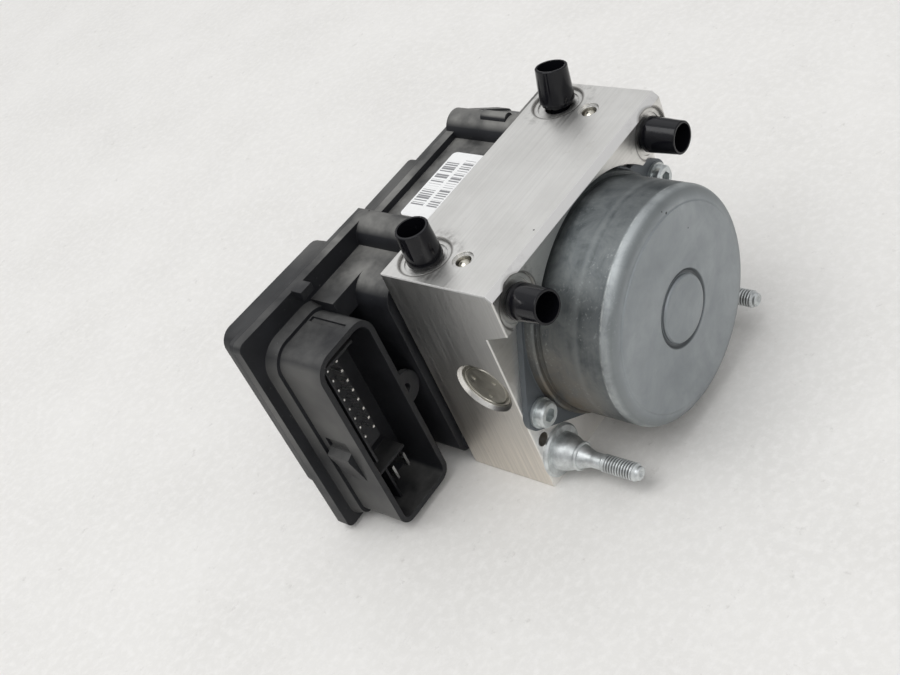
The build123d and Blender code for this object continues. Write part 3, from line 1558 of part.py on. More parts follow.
with BuildPart() as ecu_frame:
    # Back slab, and the box that closes over the valve coils.
    with BuildSketch(back_face(slab_back)):
        add(slab_area(0))
    extrude(amount=slab_thickness)
    with BuildSketch(back_face(slab_front)):
        add(chamber_area(0))
    extrude(amount=slab_front - rim_front)
    with BuildSketch(back_face(rim_front + box_rim_thickness)):
        add(box_area(0))
    extrude(amount=box_rim_thickness)

    # Web that joins box and connector along the top.
    with BuildSketch(back_face(slab_front)):
        web_near = shroud_far - shroud_wall
        web_far = -box_half_length + box_corner
        with Locations(((web_near + web_far) / 2, box_top - web_height / 2)):
            Rectangle(web_far - web_near, web_height)
    extrude(amount=web_depth)

    # Wide foot of the connector, then its shroud.
    with BuildSketch(back_face(slab_front)):
        add(shroud_area(-shroud_pad_border))
        add(slab_area(edge_break), mode=Mode.INTERSECT)
    extrude(amount=shroud_pad_depth, taper=shroud_pad_taper)
    with BuildSketch(back_face(slab_front)):
        add(shroud_area(0))
    extrude(amount=slab_front - shroud_mouth)

    # Screw posts along the top edge, the far one with a moulded lug and a strip beside it.
    for across, height, radius in screw_posts[:2]:
        with BuildSketch(back_face(slab_back)):
            with Locations((across, height)):
                Circle(radius)
        extrude(amount=slab_back)
    with BuildSketch(back_face(post_lug_start + post_lug_length)):
        with Locations((post_far_across, post_height + post_far_radius - edge_break)):
            Circle(post_lug_radius)
    extrude(amount=post_lug_length)
    with BuildSketch(back_face(strip_start + strip_thickness)):
        with Locations((post_far_across + strip_length / 2, box_top + strip_height / 2 - edge_break)):
            Rectangle(strip_length, strip_height + edge_break)
    extrude(amount=strip_thickness)

    # Coil chamber behind the rim that presses on the seal.
    with BuildSketch(back_face(slab_front)):
        add(chamber_area(box_wall))
    extrude(amount=slab_front - rim_front - box_rim_thickness, mode=Mode.SUBTRACT)
    with BuildSketch(back_face(rim_front + box_rim_thickness)):
        add(sealed_area(seal_width + seal_land))
        add(chamber_area(box_wall), mode=Mode.INTERSECT)
    extrude(amount=box_rim_thickness, mode=Mode.SUBTRACT)

    # Lower screw posts in the box's bottom corners.
    for across, height, radius in screw_posts[2:]:
        with BuildSketch(back_face(slab_front)):
            with Locations((across, height)):
                Circle(radius)
        extrude(amount=slab_front)

    # Pocket for the circuit board, with a boss left round each screw.
    with BuildSketch(back_face(slab_back)):
        add(slab_area(pocket_wall))
        unit_screw_circles(unit_screw_head_radius + boss_wall, mode=Mode.SUBTRACT)
    extrude(amount=pocket_depth, mode=Mode.SUBTRACT)

    # Windows in the pocket's floor for the coil leads and the motor lead's pins.
    with BuildSketch(back_face(slab_back)):
        with Locations(*valve_places.values()):
            SlotCenterToCenter(2 * valve_guide_radius + coil_lead_across, 4 * coil_lead_radius)
        with Locations((0, lead_height)):
            RectangleRounded(2 * lead_radius, lead_radius, coil_lead_radius)
    extrude(amount=slab_thickness, mode=Mode.SUBTRACT)

    # Screw holes through the posts.
    with BuildSketch(back_face(slab_back)):
        unit_screw_circles(unit_screw_radius + running_gap)
    extrude(amount=slab_back, mode=Mode.SUBTRACT)

    # Connector cavity.
    with BuildSketch(back_face(shroud_floor)):
        add(shroud_area(shroud_wall))
    extrude(amount=shroud_floor - shroud_mouth, mode=Mode.SUBTRACT)

    # Carrier of the signal pins, with a guard rib beside and above them.
    with BuildSketch(back_face(shroud_floor)):
        with Locations((carrier_middle, carrier_centre_height)):
            RectangleRounded(carrier_width, carrier_height, carrier_corner)
    extrude(amount=carrier_rise)
    with BuildSketch(back_face(shroud_floor)):
        with Locations((carrier_near + rib_thickness / 2, carrier_centre_height)):
            Rectangle(rib_thickness, carrier_height)
        with Locations((carrier_near + guard_length / 2, carrier_top - rib_thickness / 2)):
            Rectangle(guard_length, rib_thickness)
    extrude(amount=shroud_floor - guard_mouth)

    # Divider across the cavity, and the rib that splits off its lower corner.
    with BuildSketch(back_face(shroud_floor)):
        divider_near = shroud_near + shroud_wall - edge_break
        with Locations((divider_near + divider_length / 2, divider_height)):
            Rectangle(divider_length, rib_thickness)
        rib_bottom = shroud_bottom + shroud_wall - edge_break
        with Locations((corner_rib_across, (divider_height + rib_bottom) / 2)):
            Rectangle(rib_thickness, divider_height - rib_bottom)
    extrude(amount=shroud_floor - divider_mouth)

    # Holes for the signal pins and the power blades.
    with BuildSketch(back_face(slab_back)):
        with Locations(*signal_pin_places):
            Rectangle(signal_pin_side + 2 * seat_gap, signal_pin_side + 2 * seat_gap)
        with Locations(*blade_places):
            Rectangle(blade_thickness + 2 * seat_gap, blade_width + 2 * seat_gap)
    extrude(amount=slab_back - shroud_floor + carrier_rise, mode=Mode.SUBTRACT)

    # Latch slot on top of the shroud, latch ramp and window on its side, and the lever's lug.
    with BuildSketch(Plane.XY.offset(shroud_top)):
        with Locations((latch_slot_across, back_y + latch_slot_start + latch_slot_length / 2)):
            Rectangle(latch_slot_width, latch_slot_length)
    extrude(amount=-latch_slot_depth, mode=Mode.SUBTRACT)
    with BuildSketch(back_face(ramp_start + ramp_width)):
        with BuildLine():
            Polyline(
                (shroud_near + edge_break, ramp_top),
                (shroud_near - ramp_rise, ramp_top - ramp_rise / 2),
                (shroud_near - ramp_rise, ramp_top - ramp_rise),
                (shroud_near, ramp_top - ramp_height),
                (shroud_near + edge_break, ramp_top - ramp_height),
                close=True,
            )
        make_face()
    extrude(amount=ramp_width)
    with BuildSketch(back_face(ramp_start + ramp_width)):
        with Locations((shroud_near + latch_window_depth / 2, ramp_top + latch_window_height / 2)):
            Rectangle(latch_window_depth, latch_window_height)
    extrude(amount=ramp_width, mode=Mode.SUBTRACT)
    with BuildSketch(back_face(shroud_mouth + lug_thickness)):
        with Locations((shroud_far, lug_height)):
            Circle(lug_radius)
            Circle(lug_hole_radius, mode=Mode.SUBTRACT)
        with Locations((shroud_far - lug_radius - edge_break, lug_height)):
            Rectangle(2 * lug_radius, 2 * lug_radius, mode=Mode.SUBTRACT)
    extrude(amount=lug_thickness)

    # Clip tab on the slab's top front edge.
    with BuildSketch(back_face(slab_front)):
        with Locations((tab_across, slab_top - tab_height / 2)):
            Rectangle(tab_width, tab_height)
    extrude(amount=tab_depth)
ecu_frame.part.label = "ecu_frame"
export_step(ecu_frame.part, "parts/ecu_frame.step")

# Flat rubber seal between block and frame.
with BuildPart() as ecu_seal:
    with BuildSketch(back_face(rim_front)):
        add(sealed_area(0))
        add(sealed_area(seal_width), mode=Mode.SUBTRACT)
    extrude(amount=rim_front)
ecu_seal.part.label = "ecu_seal"
export_step(ecu_seal.part, "parts/ecu_seal.step")

# Circuit board in the frame's pocket, with its processor and two capacitors.
with BuildPart() as circuit_board:
    with BuildSketch(back_face(board_front + board_thickness)):
        add(slab_area(pocket_wall + board_gap))
        unit_screw_circles(unit_screw_head_radius + boss_wall + board_gap, mode=Mode.SUBTRACT)
    extrude(amount=board_thickness)
    component_plane = back_point(bulge_middle, board_front + board_thickness, shroud_middle[1])
    with BuildSketch(component_plane):
        with Locations((0, processor_side)):
            RectangleRounded(processor_side, processor_side, edge_break)
    extrude(amount=processor_height)
    with BuildSketch(component_plane):
        with Locations((-capacitor_radius - face_gap, 0), (capacitor_radius + face_gap, 0)):
            Circle(capacitor_radius)
    extrude(amount=capacitor_height)
circuit_board.part.label = "circuit_board"
export_step(circuit_board.part, "parts/circuit_board.step")

# Moulded lid, with the deep bulge over the tall components.
with BuildPart() as ecu_lid:
    with BuildSketch(back_face(lid_back)):
        add(slab_area(0))
    extrude(amount=lid_thickness)
    with BuildSketch(back_face(lid_back)):
        add(bulge_area(0))
    extrude(amount=-bulge_rise, taper=bulge_taper)
    with BuildSketch(back_face(lid_back)):
        add(hump_area(0))
    extrude(amount=-hump_rise, taper=bulge_taper)
    with BuildSketch(back_face(lid_back + bulge_rise - lid_thickness)):
        add(bulge_area(bulge_wall))
    extrude(amount=bulge_rise, mode=Mode.SUBTRACT)
    with BuildSketch(back_face(lid_back + hump_rise - lid_thickness)):
        add(hump_area(bulge_wall))
    extrude(amount=hump_rise, mode=Mode.SUBTRACT)
    with BuildSketch(back_face(lid_back)):
        unit_screw_circles(unit_screw_head_radius + face_gap)
    extrude(amount=lid_thickness, mode=Mode.SUBTRACT)
ecu_lid.part.label = "ecu_lid"
export_step(ecu_lid.part, "parts/ecu_lid.step")

# Connector pins and power blades, from the board into the connector.
with BuildPart() as signal_pins:
    with BuildSketch(back_face(board_front)):
        with Locations(*signal_pin_places):
            Rectangle(signal_pin_side, signal_pin_side)
    extrude(amount=board_front - signal_pin_reach)
signal_pins.part.label = "signal_pins"
export_step(signal_pins.part, "parts/signal_pins.step")

with BuildPart() as power_blades:
    with BuildSketch(back_face(board_front)):
        with Locations(*blade_places):
            Rectangle(blade_thickness, blade_width)
    extrude(amount=board_front - blade_reach)
power_blades.part.label = "power_blades"
export_step(power_blades.part, "parts/power_blades.step")

# Pan-head screws that hold the control unit to the block.
with BuildPart() as unit_screws:
    for across, height in unit_screw_places:
        screw_section = inward(across, height)
        head_end = slab_back + unit_screw_head_height
        with BuildSketch(screw_section):
            with BuildLine():
                Polyline(
                    (0, -unit_screw_depth + seat_gap),
                    (unit_screw_radius, -unit_screw_depth + seat_gap),
                    (unit_screw_radius, slab_back),
                    (unit_screw_head_radius, slab_back),
                    (unit_screw_head_radius, head_end - edge_break),
                    (unit_screw_head_radius - edge_break, head_end),
                    (0, head_end),
                    close=True,
                )
            make_face()
        revolve(axis=spin_axis(screw_section))
        with BuildSketch(back_point(across, head_end, height)):
            RegularPolygon(unit_screw_radius, 6)
        extrude(amount=-unit_screw_head_height / 2, mode=Mode.SUBTRACT)
unit_screws.part.label = "unit_screws"
export_step(unit_screws.part, "parts/unit_screws.step")

# Paper label on the ledge between the posts.
label_near = -post_near_across + post_near_radius + label_near_gap
label_far = post_far_across - post_far_radius - label_far_gap
with BuildPart() as label:
    with BuildSketch(Plane.XY.offset(box_top)):
        with Locations(((label_near + label_far) / 2, back_y + label_from_block + label_width / 2)):
            RectangleRounded(label_far - label_near, label_width, label_corner)
    extrude(amount=label_thickness)
label.part.label = "label"
export_step(label.part, "parts/label.step")
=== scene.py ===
import math

import bmesh
import bpy
from mathutils import Matrix, Vector


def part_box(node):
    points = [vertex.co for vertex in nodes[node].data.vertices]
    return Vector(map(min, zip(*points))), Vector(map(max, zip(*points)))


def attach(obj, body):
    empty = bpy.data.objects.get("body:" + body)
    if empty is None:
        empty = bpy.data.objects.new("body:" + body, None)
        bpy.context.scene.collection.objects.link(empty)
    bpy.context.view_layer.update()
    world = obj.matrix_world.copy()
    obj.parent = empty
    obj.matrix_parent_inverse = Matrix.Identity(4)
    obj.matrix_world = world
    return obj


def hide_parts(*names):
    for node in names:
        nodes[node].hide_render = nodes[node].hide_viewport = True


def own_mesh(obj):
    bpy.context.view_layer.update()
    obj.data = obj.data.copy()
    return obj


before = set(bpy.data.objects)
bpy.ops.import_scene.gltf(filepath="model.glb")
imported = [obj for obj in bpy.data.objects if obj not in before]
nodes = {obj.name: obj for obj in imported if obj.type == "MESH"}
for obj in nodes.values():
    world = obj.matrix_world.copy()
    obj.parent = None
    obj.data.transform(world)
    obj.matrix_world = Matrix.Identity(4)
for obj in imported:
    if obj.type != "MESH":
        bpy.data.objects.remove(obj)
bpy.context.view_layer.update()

# ---------------------------------------------------------------- valve block
# A length of extruded aluminium bar, milled on all sides and drilled from all of them. The faces
# keep the fine lines of the cutter, and each round port keeps the rings of its spot-facing tool.
MM = 0.001


class Finish:
    """A finish's material, with short calls for the nodes it is made of."""

    def __init__(self, name, colour, roughness, metallic=0.0, **sockets):
        self.material = bpy.data.materials.new(name)
        self.material.use_nodes = True
        self.tree = self.material.node_tree
        self.shader = self.tree.nodes["Principled BSDF"]
        self.shader.inputs["Base Color"].default_value = (*colour, 1)
        self.shader.inputs["Roughness"].default_value = roughness
        self.shader.inputs["Metallic"].default_value = metallic
        for socket, value in sockets.items():
            self.shader.inputs[socket.replace("_", " ")].default_value = value
        self.place = self.node("ShaderNodeTexCoord").outputs["Object"]

    def feed(self, socket, value):
        """Links an output to the socket, or writes a plain number, vector or colour into it."""
        if isinstance(value, bpy.types.NodeSocket):
            self.tree.links.new(value, socket)
        elif socket.type == "RGBA":
            socket.default_value = (*value, 1)
        else:
            socket.default_value = value

    def node(self, kind, inputs=None, **settings):
        made = self.tree.nodes.new(kind)
        for key, value in settings.items():
            setattr(made, key, value)
        for key, value in (inputs or {}).items():
            self.feed(made.inputs[key], value)
        return made

    def sum(self, operation, *values):
        numbered = dict(enumerate(values))
        return self.node("ShaderNodeMath", numbered, operation=operation).outputs[0]

    def stretch(self, scale, turn=(0, 0, 0)):
        inputs = {"Vector": self.place, "Scale": scale, "Rotation": turn}
        return self.node("ShaderNodeMapping", inputs).outputs["Vector"]

    def noise(self, scale, detail=4.0, rough=0.6, vector=None, distortion=0.0):
        inputs = {
            "Vector": vector or self.place,
            "Scale": scale,
            "Detail": detail,
            "Roughness": rough,
            "Distortion": distortion,
        }
        return self.node("ShaderNodeTexNoise", inputs).outputs["Fac"]

    def ramp(self, value, low, high, to_low=0.0, to_high=1.0):
        """Carries a value from one range to another and holds it at the ends."""
        limits = {
            "Value": value,
            "From Min": low,
            "From Max": high,
            "To Min": to_low,
            "To Max": to_high,
        }
        return self.node("ShaderNodeMapRange", limits, clamp=True).outputs["Result"]

    def band(self, value, middle, width, soft):
        """One inside a band of values, falling to nothing over its soft edge."""
        off_middle = self.sum("ABSOLUTE", self.sum("SUBTRACT", value, middle))
        return self.ramp(off_middle, width / 2, width / 2 + soft, 1.0, 0.0)

    def mix(self, amount, first, second):
        made = self.node("ShaderNodeMix", data_type="RGBA")
        self.feed(made.inputs[0], amount)
        self.feed(made.inputs[6], first)
        self.feed(made.inputs[7], second)
        return made.outputs[2]

    def axes(self, vector=None):
        return self.node("ShaderNodeSeparateXYZ", {0: vector or self.place}).outputs

    def facing(self, direction, low=0.55, high=0.85):
        """One where the surface faces this way, nothing where it is turned well off it."""
        normal = self.node("ShaderNodeNewGeometry").outputs["Normal"]
        inputs = {0: normal, 1: direction}
        made = self.node("ShaderNodeVectorMath", inputs, operation="DOT_PRODUCT")
        return self.ramp(made.outputs["Value"], low, high)

    def away(self, centre, kept):
        """Distance from a point, along the kept axes only."""
        offset = self.node("ShaderNodeVectorMath", {0: self.place, 1: centre}, operation="SUBTRACT")
        flat = self.node("ShaderNodeVectorMath", {0: offset.outputs[0], 1: kept}, operation="MULTIPLY")
        length = self.node("ShaderNodeVectorMath", {0: flat.outputs[0]}, operation="LENGTH")
        return length.outputs["Value"]

    def colour(self, value):
        self.feed(self.shader.inputs["Base Color"], value)

    def roughness(self, value):
        self.feed(self.shader.inputs["Roughness"], value)

    def relief(self, height, depth, rounding=0.0):
        """Bumps of this depth in metres, on edges rounded to this radius."""
        bump = self.node("ShaderNodeBump", {"Strength": 1.0, "Distance": depth, "Height": height})
        if rounding:
            edge = self.node("ShaderNodeBevel", {"Radius": rounding}, samples=6)
            self.feed(bump.inputs["Normal"], edge.outputs["Normal"])
        self.feed(self.shader.inputs["Normal"], bump.outputs["Normal"])

    def give(self, *names):
        """Puts this finish on CAD nodes."""
        for name in names:
            for slot in nodes[name].material_slots:
                slot.material = self.material


def middle(name):
    low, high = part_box(name)
    return [(first + second) / 2 for first, second in zip(low, high)]


spot_radius = 8.5 * MM
spot_edge = 0.4 * MM
stain_radius = 10 * MM
ring_pitch = 0.28 * MM
mouth_radius = 9.6 * MM
mouth_width = 0.9 * MM
yellowed_height = 14 * MM
clean_height = 62 * MM
pits = (
    (Vector((-19.4, -22.0, 87.0)) * MM, 0.35 * MM),
    (Vector((-47.4, -16.8, 13.6)) * MM, 0.4 * MM),
)

aluminium = Finish("milled_aluminium", (0.78, 0.77, 0.74), 0.36, metallic=1.0)
top = aluminium.facing((0, 0, 1))
front = aluminium.facing((0, -1, 0))
lengthways = aluminium.noise(1100, 3, 0.6, aluminium.stretch((0.02, 1, 1)))
upwards = aluminium.noise(1300, 4, 0.65, aluminium.stretch((1, 1, 0.03)))
upright = aluminium.sum("MAXIMUM", aluminium.facing((-1, 0, 0)), aluminium.facing((1, 0, 0)))
level = aluminium.sum("SUBTRACT", 1.0, upright)
cutter_lines = aluminium.sum("ADD", aluminium.sum("MULTIPLY", lengthways, level),
                             aluminium.sum("MULTIPLY", upwards, upright))

# Each port's spot face has fine rings, a painted shade line in the groove at its edge and a patchy darker
# ring beside it.
rings = 0.0
edge_shade_and_dark_ring = 0.0
stains = aluminium.noise(190, 6, 0.7)
wheel_seat = middle("wheel_port_cap_near")
master_seat = middle("master_port_cap_far")
for seat, kept, face in ((wheel_seat, (1, 1, 0), top), (master_seat, (1, 0, 1), front)):
    for side in (-1, 1):
        reach = aluminium.away((side * abs(seat[0]), seat[1], seat[2]), kept)
        wave = aluminium.sum("SINE", aluminium.sum("MULTIPLY", reach, 2 * math.pi / ring_pitch))
        spot = aluminium.sum("MULTIPLY", aluminium.sum("LESS_THAN", reach, spot_radius), face)
        rings = aluminium.sum("ADD", rings, aluminium.sum("MULTIPLY", wave, spot))
        edge = aluminium.band(reach, spot_radius, spot_edge, 0.5 * MM)
        patchy_dark_ring = aluminium.sum("MULTIPLY", aluminium.band(reach, stain_radius, 2 * MM, 2.5 * MM),
                              aluminium.ramp(stains, 0.5, 0.66, 0.0, 0.5))
        seat_edge_shade_and_ring = aluminium.sum("MULTIPLY", aluminium.sum("MAXIMUM", edge, patchy_dark_ring), face)
        edge_shade_and_dark_ring = aluminium.sum("ADD", edge_shade_and_dark_ring, seat_edge_shade_and_ring)

# The end faces are brushed upright and have yellowed low down. The rest is bright, a little cloudy.
_, _, height = aluminium.axes()
clouds = aluminium.noise(55, 5, 0.62)
metal = aluminium.mix(aluminium.ramp(clouds, 0.35, 0.68), (0.74, 0.73, 0.7), (0.83, 0.82, 0.79))
metal = aluminium.mix(aluminium.ramp(lengthways, 0.35, 0.7, 0.0, 0.3), metal, (0.6, 0.59, 0.57))
low_down = aluminium.ramp(height, yellowed_height, clean_height)
end_metal = aluminium.mix(low_down, (0.8, 0.75, 0.68), (0.58, 0.58, 0.57))
brushed = aluminium.ramp(upwards, 0.34, 0.66, 0.0, 0.32)
end_metal = aluminium.mix(brushed, end_metal, (0.42, 0.415, 0.4))
metal = aluminium.mix(upright, metal, end_metal)
# Painted highlights: the sloped top front edge and the lowest part of the front face are painted near
# white.
slope_highlight = aluminium.facing((0, -0.707, 0.707), 0.9, 0.97)
foot_highlight = aluminium.sum("MULTIPLY", front, aluminium.ramp(height, 30 * MM, 50 * MM, 1.0, 0.0))
metal = aluminium.mix(aluminium.sum("MAXIMUM", slope_highlight, foot_highlight), metal, (0.96, 0.945, 0.92))
metal = aluminium.mix(aluminium.ramp(stains, 0.62, 0.8, 0.0, 0.4), metal, (0.45, 0.42, 0.37))
# Painted shade in the groove at each spot face's edge, with the patchy darker ring beside it.
metal = aluminium.mix(aluminium.sum("MULTIPLY", edge_shade_and_dark_ring, 0.75), metal, (0.13, 0.12, 0.11))
# A painted highlight: a bright ring on the chamfer round each pump plug's mouth.
plug_reach = aluminium.away(middle("pump_plug_near"), (0, 1, 1))
mouth_highlight_band = aluminium.band(plug_reach, mouth_radius, mouth_width, 0.2 * MM)
mouth_highlight = aluminium.sum("MULTIPLY", mouth_highlight_band, upright)
metal = aluminium.mix(mouth_highlight, metal, (0.9, 0.88, 0.84))
for centre, size in pits:
    pit = aluminium.ramp(aluminium.away(centre, (1, 1, 1)), 0.6 * size, size, 1.0, 0.0)
    metal = aluminium.mix(pit, metal, (0.03, 0.03, 0.03))
aluminium.colour(metal)
gloss = aluminium.ramp(cutter_lines, 0.25, 0.75, 0.3, 0.46)
aluminium.roughness(aluminium.sum("SUBTRACT", gloss, aluminium.sum("MULTIPLY", mouth_highlight, 0.15)))
relief = aluminium.sum("ADD", cutter_lines, aluminium.sum("MULTIPLY", rings, 0.25))
aluminium.relief(relief, 0.03 * MM, 0.2 * MM)
aluminium.give("valve_block")

# Hardened steel balls, pressed into the cross drillings and staked under the face.
ball_steel = Finish("ball_steel", (0.66, 0.63, 0.55), 0.22, metallic=1.0)
ball_steel.roughness(ball_steel.ramp(ball_steel.noise(700), 0.3, 0.7, 0.16, 0.34))
ball_steel.relief(ball_steel.noise(1500, 3), 0.01 * MM)
ball_steel.give("ball_plugs")

# ---------------------------------------------------------------- port caps
# Hollow push-in caps that keep dirt out of the pipe ports until the module is fitted. They are
# moulded in soft black plastic with a thin rolled mouth.
cap_plastic = Finish("cap_plastic", (0.007, 0.007, 0.009), 0.2, Specular_IOR_Level=0.3)
scuffs = cap_plastic.noise(420, 5, 0.7)
cap_plastic.roughness(cap_plastic.ramp(scuffs, 0.35, 0.75, 0.08, 0.22))
wear_and_rim_highlight = cap_plastic.ramp(scuffs, 0.62, 0.85, 0.0, 0.8)
cap_plastic.colour(cap_plastic.mix(wear_and_rim_highlight, (0.006, 0.006, 0.008), (0.03, 0.03, 0.032)))
cap_plastic.relief(cap_plastic.noise(900, 3), 0.01 * MM, 0.2 * MM)
cap_plastic.give(
    "wheel_port_cap_near",
    "wheel_port_cap_far",
    "master_port_cap_near",
    "master_port_cap_far",
)

# ---------------------------------------------------------------- pump elements
# A turned steel plug closes each pump bore. Behind it a hardened piston runs in a steel sleeve,
# with a guide seal of filled plastic.
lathe_pitch = 0.3 * MM


def turned(name, colour, roughness, centre, kept):
    """Metal with the fine rings of a lathe tool round a centre."""
    finish = Finish(name, colour, roughness, metallic=1.0)
    reach = finish.away(centre, kept)
    wave = finish.sum("SINE", finish.sum("MULTIPLY", reach, 2 * math.pi / lathe_pitch))
    grain = finish.noise(800, 4, 0.65)
    finish.roughness(finish.ramp(grain, 0.3, 0.7, roughness * 0.75, roughness * 1.3))
    finish.relief(finish.sum("ADD", finish.sum("MULTIPLY", wave, 0.3), grain), 0.02 * MM, 0.3 * MM)
    shade = tuple(0.72 * channel for channel in colour)
    finish.colour(finish.mix(finish.ramp(finish.noise(170, 5), 0.35, 0.7), shade, colour))
    return finish


def plain(name, colour, roughness, metallic=0.0, spread=0.3, scale=400, depth=0.01):
    """An even finish, a little uneven in colour, gloss and surface."""
    finish = Finish(name, colour, roughness, metallic)
    grain = finish.noise(scale, 5, 0.65)
    shade = tuple((1 - spread) * channel for channel in colour)
    finish.colour(finish.mix(finish.ramp(grain, 0.3, 0.7), shade, colour))
    finish.roughness(finish.ramp(grain, 0.3, 0.7, roughness * 0.8, min(1.0, roughness * 1.25)))
    finish.relief(grain, depth * MM)
    return finish


turned("turned_plug", (0.5, 0.48, 0.42), 0.36, middle("pump_plug_near"), (0, 1, 1)).give(
    "pump_plug_near",
    "pump_plug_far",
)
hardened = plain("hardened_steel", (0.6, 0.61, 0.62), 0.2, metallic=1.0, spread=0.15)
hardened.give(
    "pump_sleeve_near",
    "pump_sleeve_far",
    "pump_piston_near",
    "pump_piston_far",
    "eccentric_ring",
    "bearing_outer_ring",
    "bearing_inner_ring",
    "bearing_balls",
    "motor_shaft",
)
rubber = plain("seal_rubber", (0.02, 0.02, 0.021), 0.6, spread=0.35, depth=0.02)
rubber.give("piston_seals", "accumulator_seal_near", "accumulator_seal_far", "ecu_seal")

# ---------------------------------------------------------------- low-pressure accumulators
# Cup pistons of machined aluminium in the two bores under the block, each on a spring that stands
# on a pressed steel cover. The covers are staked into the bores' mouths.
piston_aluminium = plain("piston_aluminium", (0.55, 0.54, 0.5), 0.34, metallic=1.0, spread=0.2)
piston_aluminium.give("accumulator_piston_near", "accumulator_piston_far")
cover_steel = plain("cover_steel", (0.5, 0.5, 0.46), 0.36, metallic=1.0, spread=0.3, scale=220)
cover_steel.give("accumulator_covers")

# ---------------------------------------------------------------- solenoid valves
# Turned cartridges with a thin guide tube, pressed into the block's back face. A coil wound on a
# plastic bobbin sits over each tube and pulls the armature inside it.
valve_steel = plain("valve_steel", (0.5, 0.51, 0.51), 0.28, metallic=1.0, spread=0.25)
coil_plastic = plain("coil_plastic", (0.035, 0.03, 0.028), 0.45, spread=0.3, depth=0.02)
for stage in ("inlet", "outlet"):
    for side in ("near", "far"):
        valve_steel.give(f"{stage}_valve_{side}", f"{stage}_armature_{side}")
        coil_plastic.give(f"{stage}_coil_{side}")

# ---------------------------------------------------------------- return springs
# Wound from hard drawn steel wire. One stands behind each pump piston, under each accumulator's piston
# and against each valve's armature. Each is taken out here as a piece of its own.
ACROSS, ALONG, UP = range(3)
between_valve_rows = 47 * MM

spring_steel = plain("spring_steel", (0.42, 0.41, 0.4), 0.3, metallic=1.0)
spring_steel.give("pump_springs", "accumulator_springs", "valve_springs", "brush_springs")


def spring(name, node, axis, fixed_end, own):
    """Takes one spring out of a node of several into a piece of its own."""
    piece = bpy.data.objects.new(name, nodes[node].data.copy())
    bpy.context.scene.collection.objects.link(piece)
    coils = bmesh.new()
    coils.from_mesh(piece.data)
    others = [vertex for vertex in coils.verts if not own(vertex.co)]
    bmesh.ops.delete(coils, geom=others, context="VERTS")
    coils.to_mesh(piece.data)
    coils.free()
    for slot in piece.material_slots:
        slot.material = spring_steel.material
    places = [vertex.co[axis] for vertex in piece.data.vertices]
    anchor = Vector(piece.data.vertices[0].co)
    anchor[axis] = min(places) if fixed_end == "low" else max(places)
    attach(piece, "module")
    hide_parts(node)
    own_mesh(piece)


for side, sign in (("near", -1), ("far", 1)):
    outward = "low" if side == "near" else "high"
    spring(f"pump_spring_{side}", "pump_springs", ACROSS, outward,
           lambda point: point.x * sign > 0)
    spring(f"accumulator_spring_{side}", "accumulator_springs", UP, "low",
           lambda point: point.x * sign > 0)
    spring(f"inlet_valve_spring_{side}", "valve_springs", ALONG, "low",
           lambda point: point.x * sign > 0 and point.z > between_valve_rows)
    spring(f"outlet_valve_spring_{side}", "valve_springs", ALONG, "high",
           lambda point: point.x * sign > 0 and point.z < between_valve_rows)

# ---------------------------------------------------------------- pump motor
# The can is deep drawn from zinc-coated sheet, which has dulled to a mottled grey. Two screws
# through the flange's ears hold it on the block.
can_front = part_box("motor_can")[0][1]
foot_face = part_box("motor_can")[1][1]
can_radius = 38 * MM
can_corner = 4 * MM
button_height = 1 * MM
button_groove_radius = 11.9 * MM
button_groove_width = 1.1 * MM
flange_front = 2.4 * MM
motor_axis = (0, 0, 43.5 * MM)
side_end = can_front + button_height + can_corner
chips = (
    (Vector((6.1, -49.7, 76.7)) * MM, 0.5 * MM),
    (Vector((8.9, -49.7, 75.1)) * MM, 0.4 * MM),
    (Vector((4.6, -49.6, 78.4)) * MM, 0.35 * MM),
    (Vector((13.1, -50.1, 65.0)) * MM, 0.3 * MM),
)

can_steel = Finish("motor_can_steel", (0.3, 0.32, 0.335), 0.46, metallic=0.7)
across, along, height = can_steel.axes()
reach = can_steel.away(motor_axis, (1, 0, 1))
on_face = can_steel.ramp(reach, can_radius - can_corner, can_radius - 0.3 * MM, 1.0, 0.0)
on_side = can_steel.sum("SUBTRACT", 1.0, on_face)
mottle = can_steel.noise(120, 7, 0.66, distortion=0.4)
fine = can_steel.noise(650, 5, 0.65)
drawn = can_steel.noise(330, 4, 0.6, can_steel.stretch((0.03, 1, 0.03)))

# The front is an even blue grey, with faint swirls where it was wiped.
swirl = can_steel.noise(26, 4, 0.55, distortion=1.8)
front_metal = can_steel.mix(can_steel.ramp(swirl, 0.3, 0.7), (0.28, 0.305, 0.32), (0.38, 0.405, 0.42))
cloudy = can_steel.ramp(mottle, 0.45, 0.75, 0.0, 0.3)
front_metal = can_steel.mix(cloudy, front_metal, (0.28, 0.3, 0.31))

# The side is darker, with the drawing tool's faint lines round it and pale scuffs.
side_metal = can_steel.mix(can_steel.ramp(mottle, 0.34, 0.66), (0.07, 0.08, 0.085), (0.19, 0.205, 0.205))
side_metal = can_steel.mix(can_steel.ramp(drawn, 0.4, 0.7, 0.0, 0.4), side_metal, (0.2, 0.215, 0.22))
drawn_line = can_steel.band(along, side_end + 9 * MM, 0.5 * MM, 1.2 * MM)
side_metal = can_steel.mix(can_steel.sum("MULTIPLY", drawn_line, 0.3), side_metal, (0.3, 0.32, 0.32))
scuffed = can_steel.sum("MULTIPLY", can_steel.ramp(can_steel.noise(48, 3), 0.48, 0.62),
                        can_steel.ramp(can_steel.noise(900, 3, 0.6), 0.58, 0.68, 0.0, 0.4))
side_metal = can_steel.mix(scuffed, side_metal, (0.45, 0.47, 0.47))
tarnish = can_steel.sum("MULTIPLY", can_steel.ramp(along, foot_face - 30 * MM, foot_face - 12 * MM),
                        can_steel.ramp(height, 36 * MM, 66 * MM, 1.0, 0.0))
tarnish = can_steel.sum("MULTIPLY", tarnish, can_steel.ramp(mottle, 0.36, 0.6, 0.25, 0.9))
side_metal = can_steel.mix(tarnish, side_metal, (0.16, 0.13, 0.095))

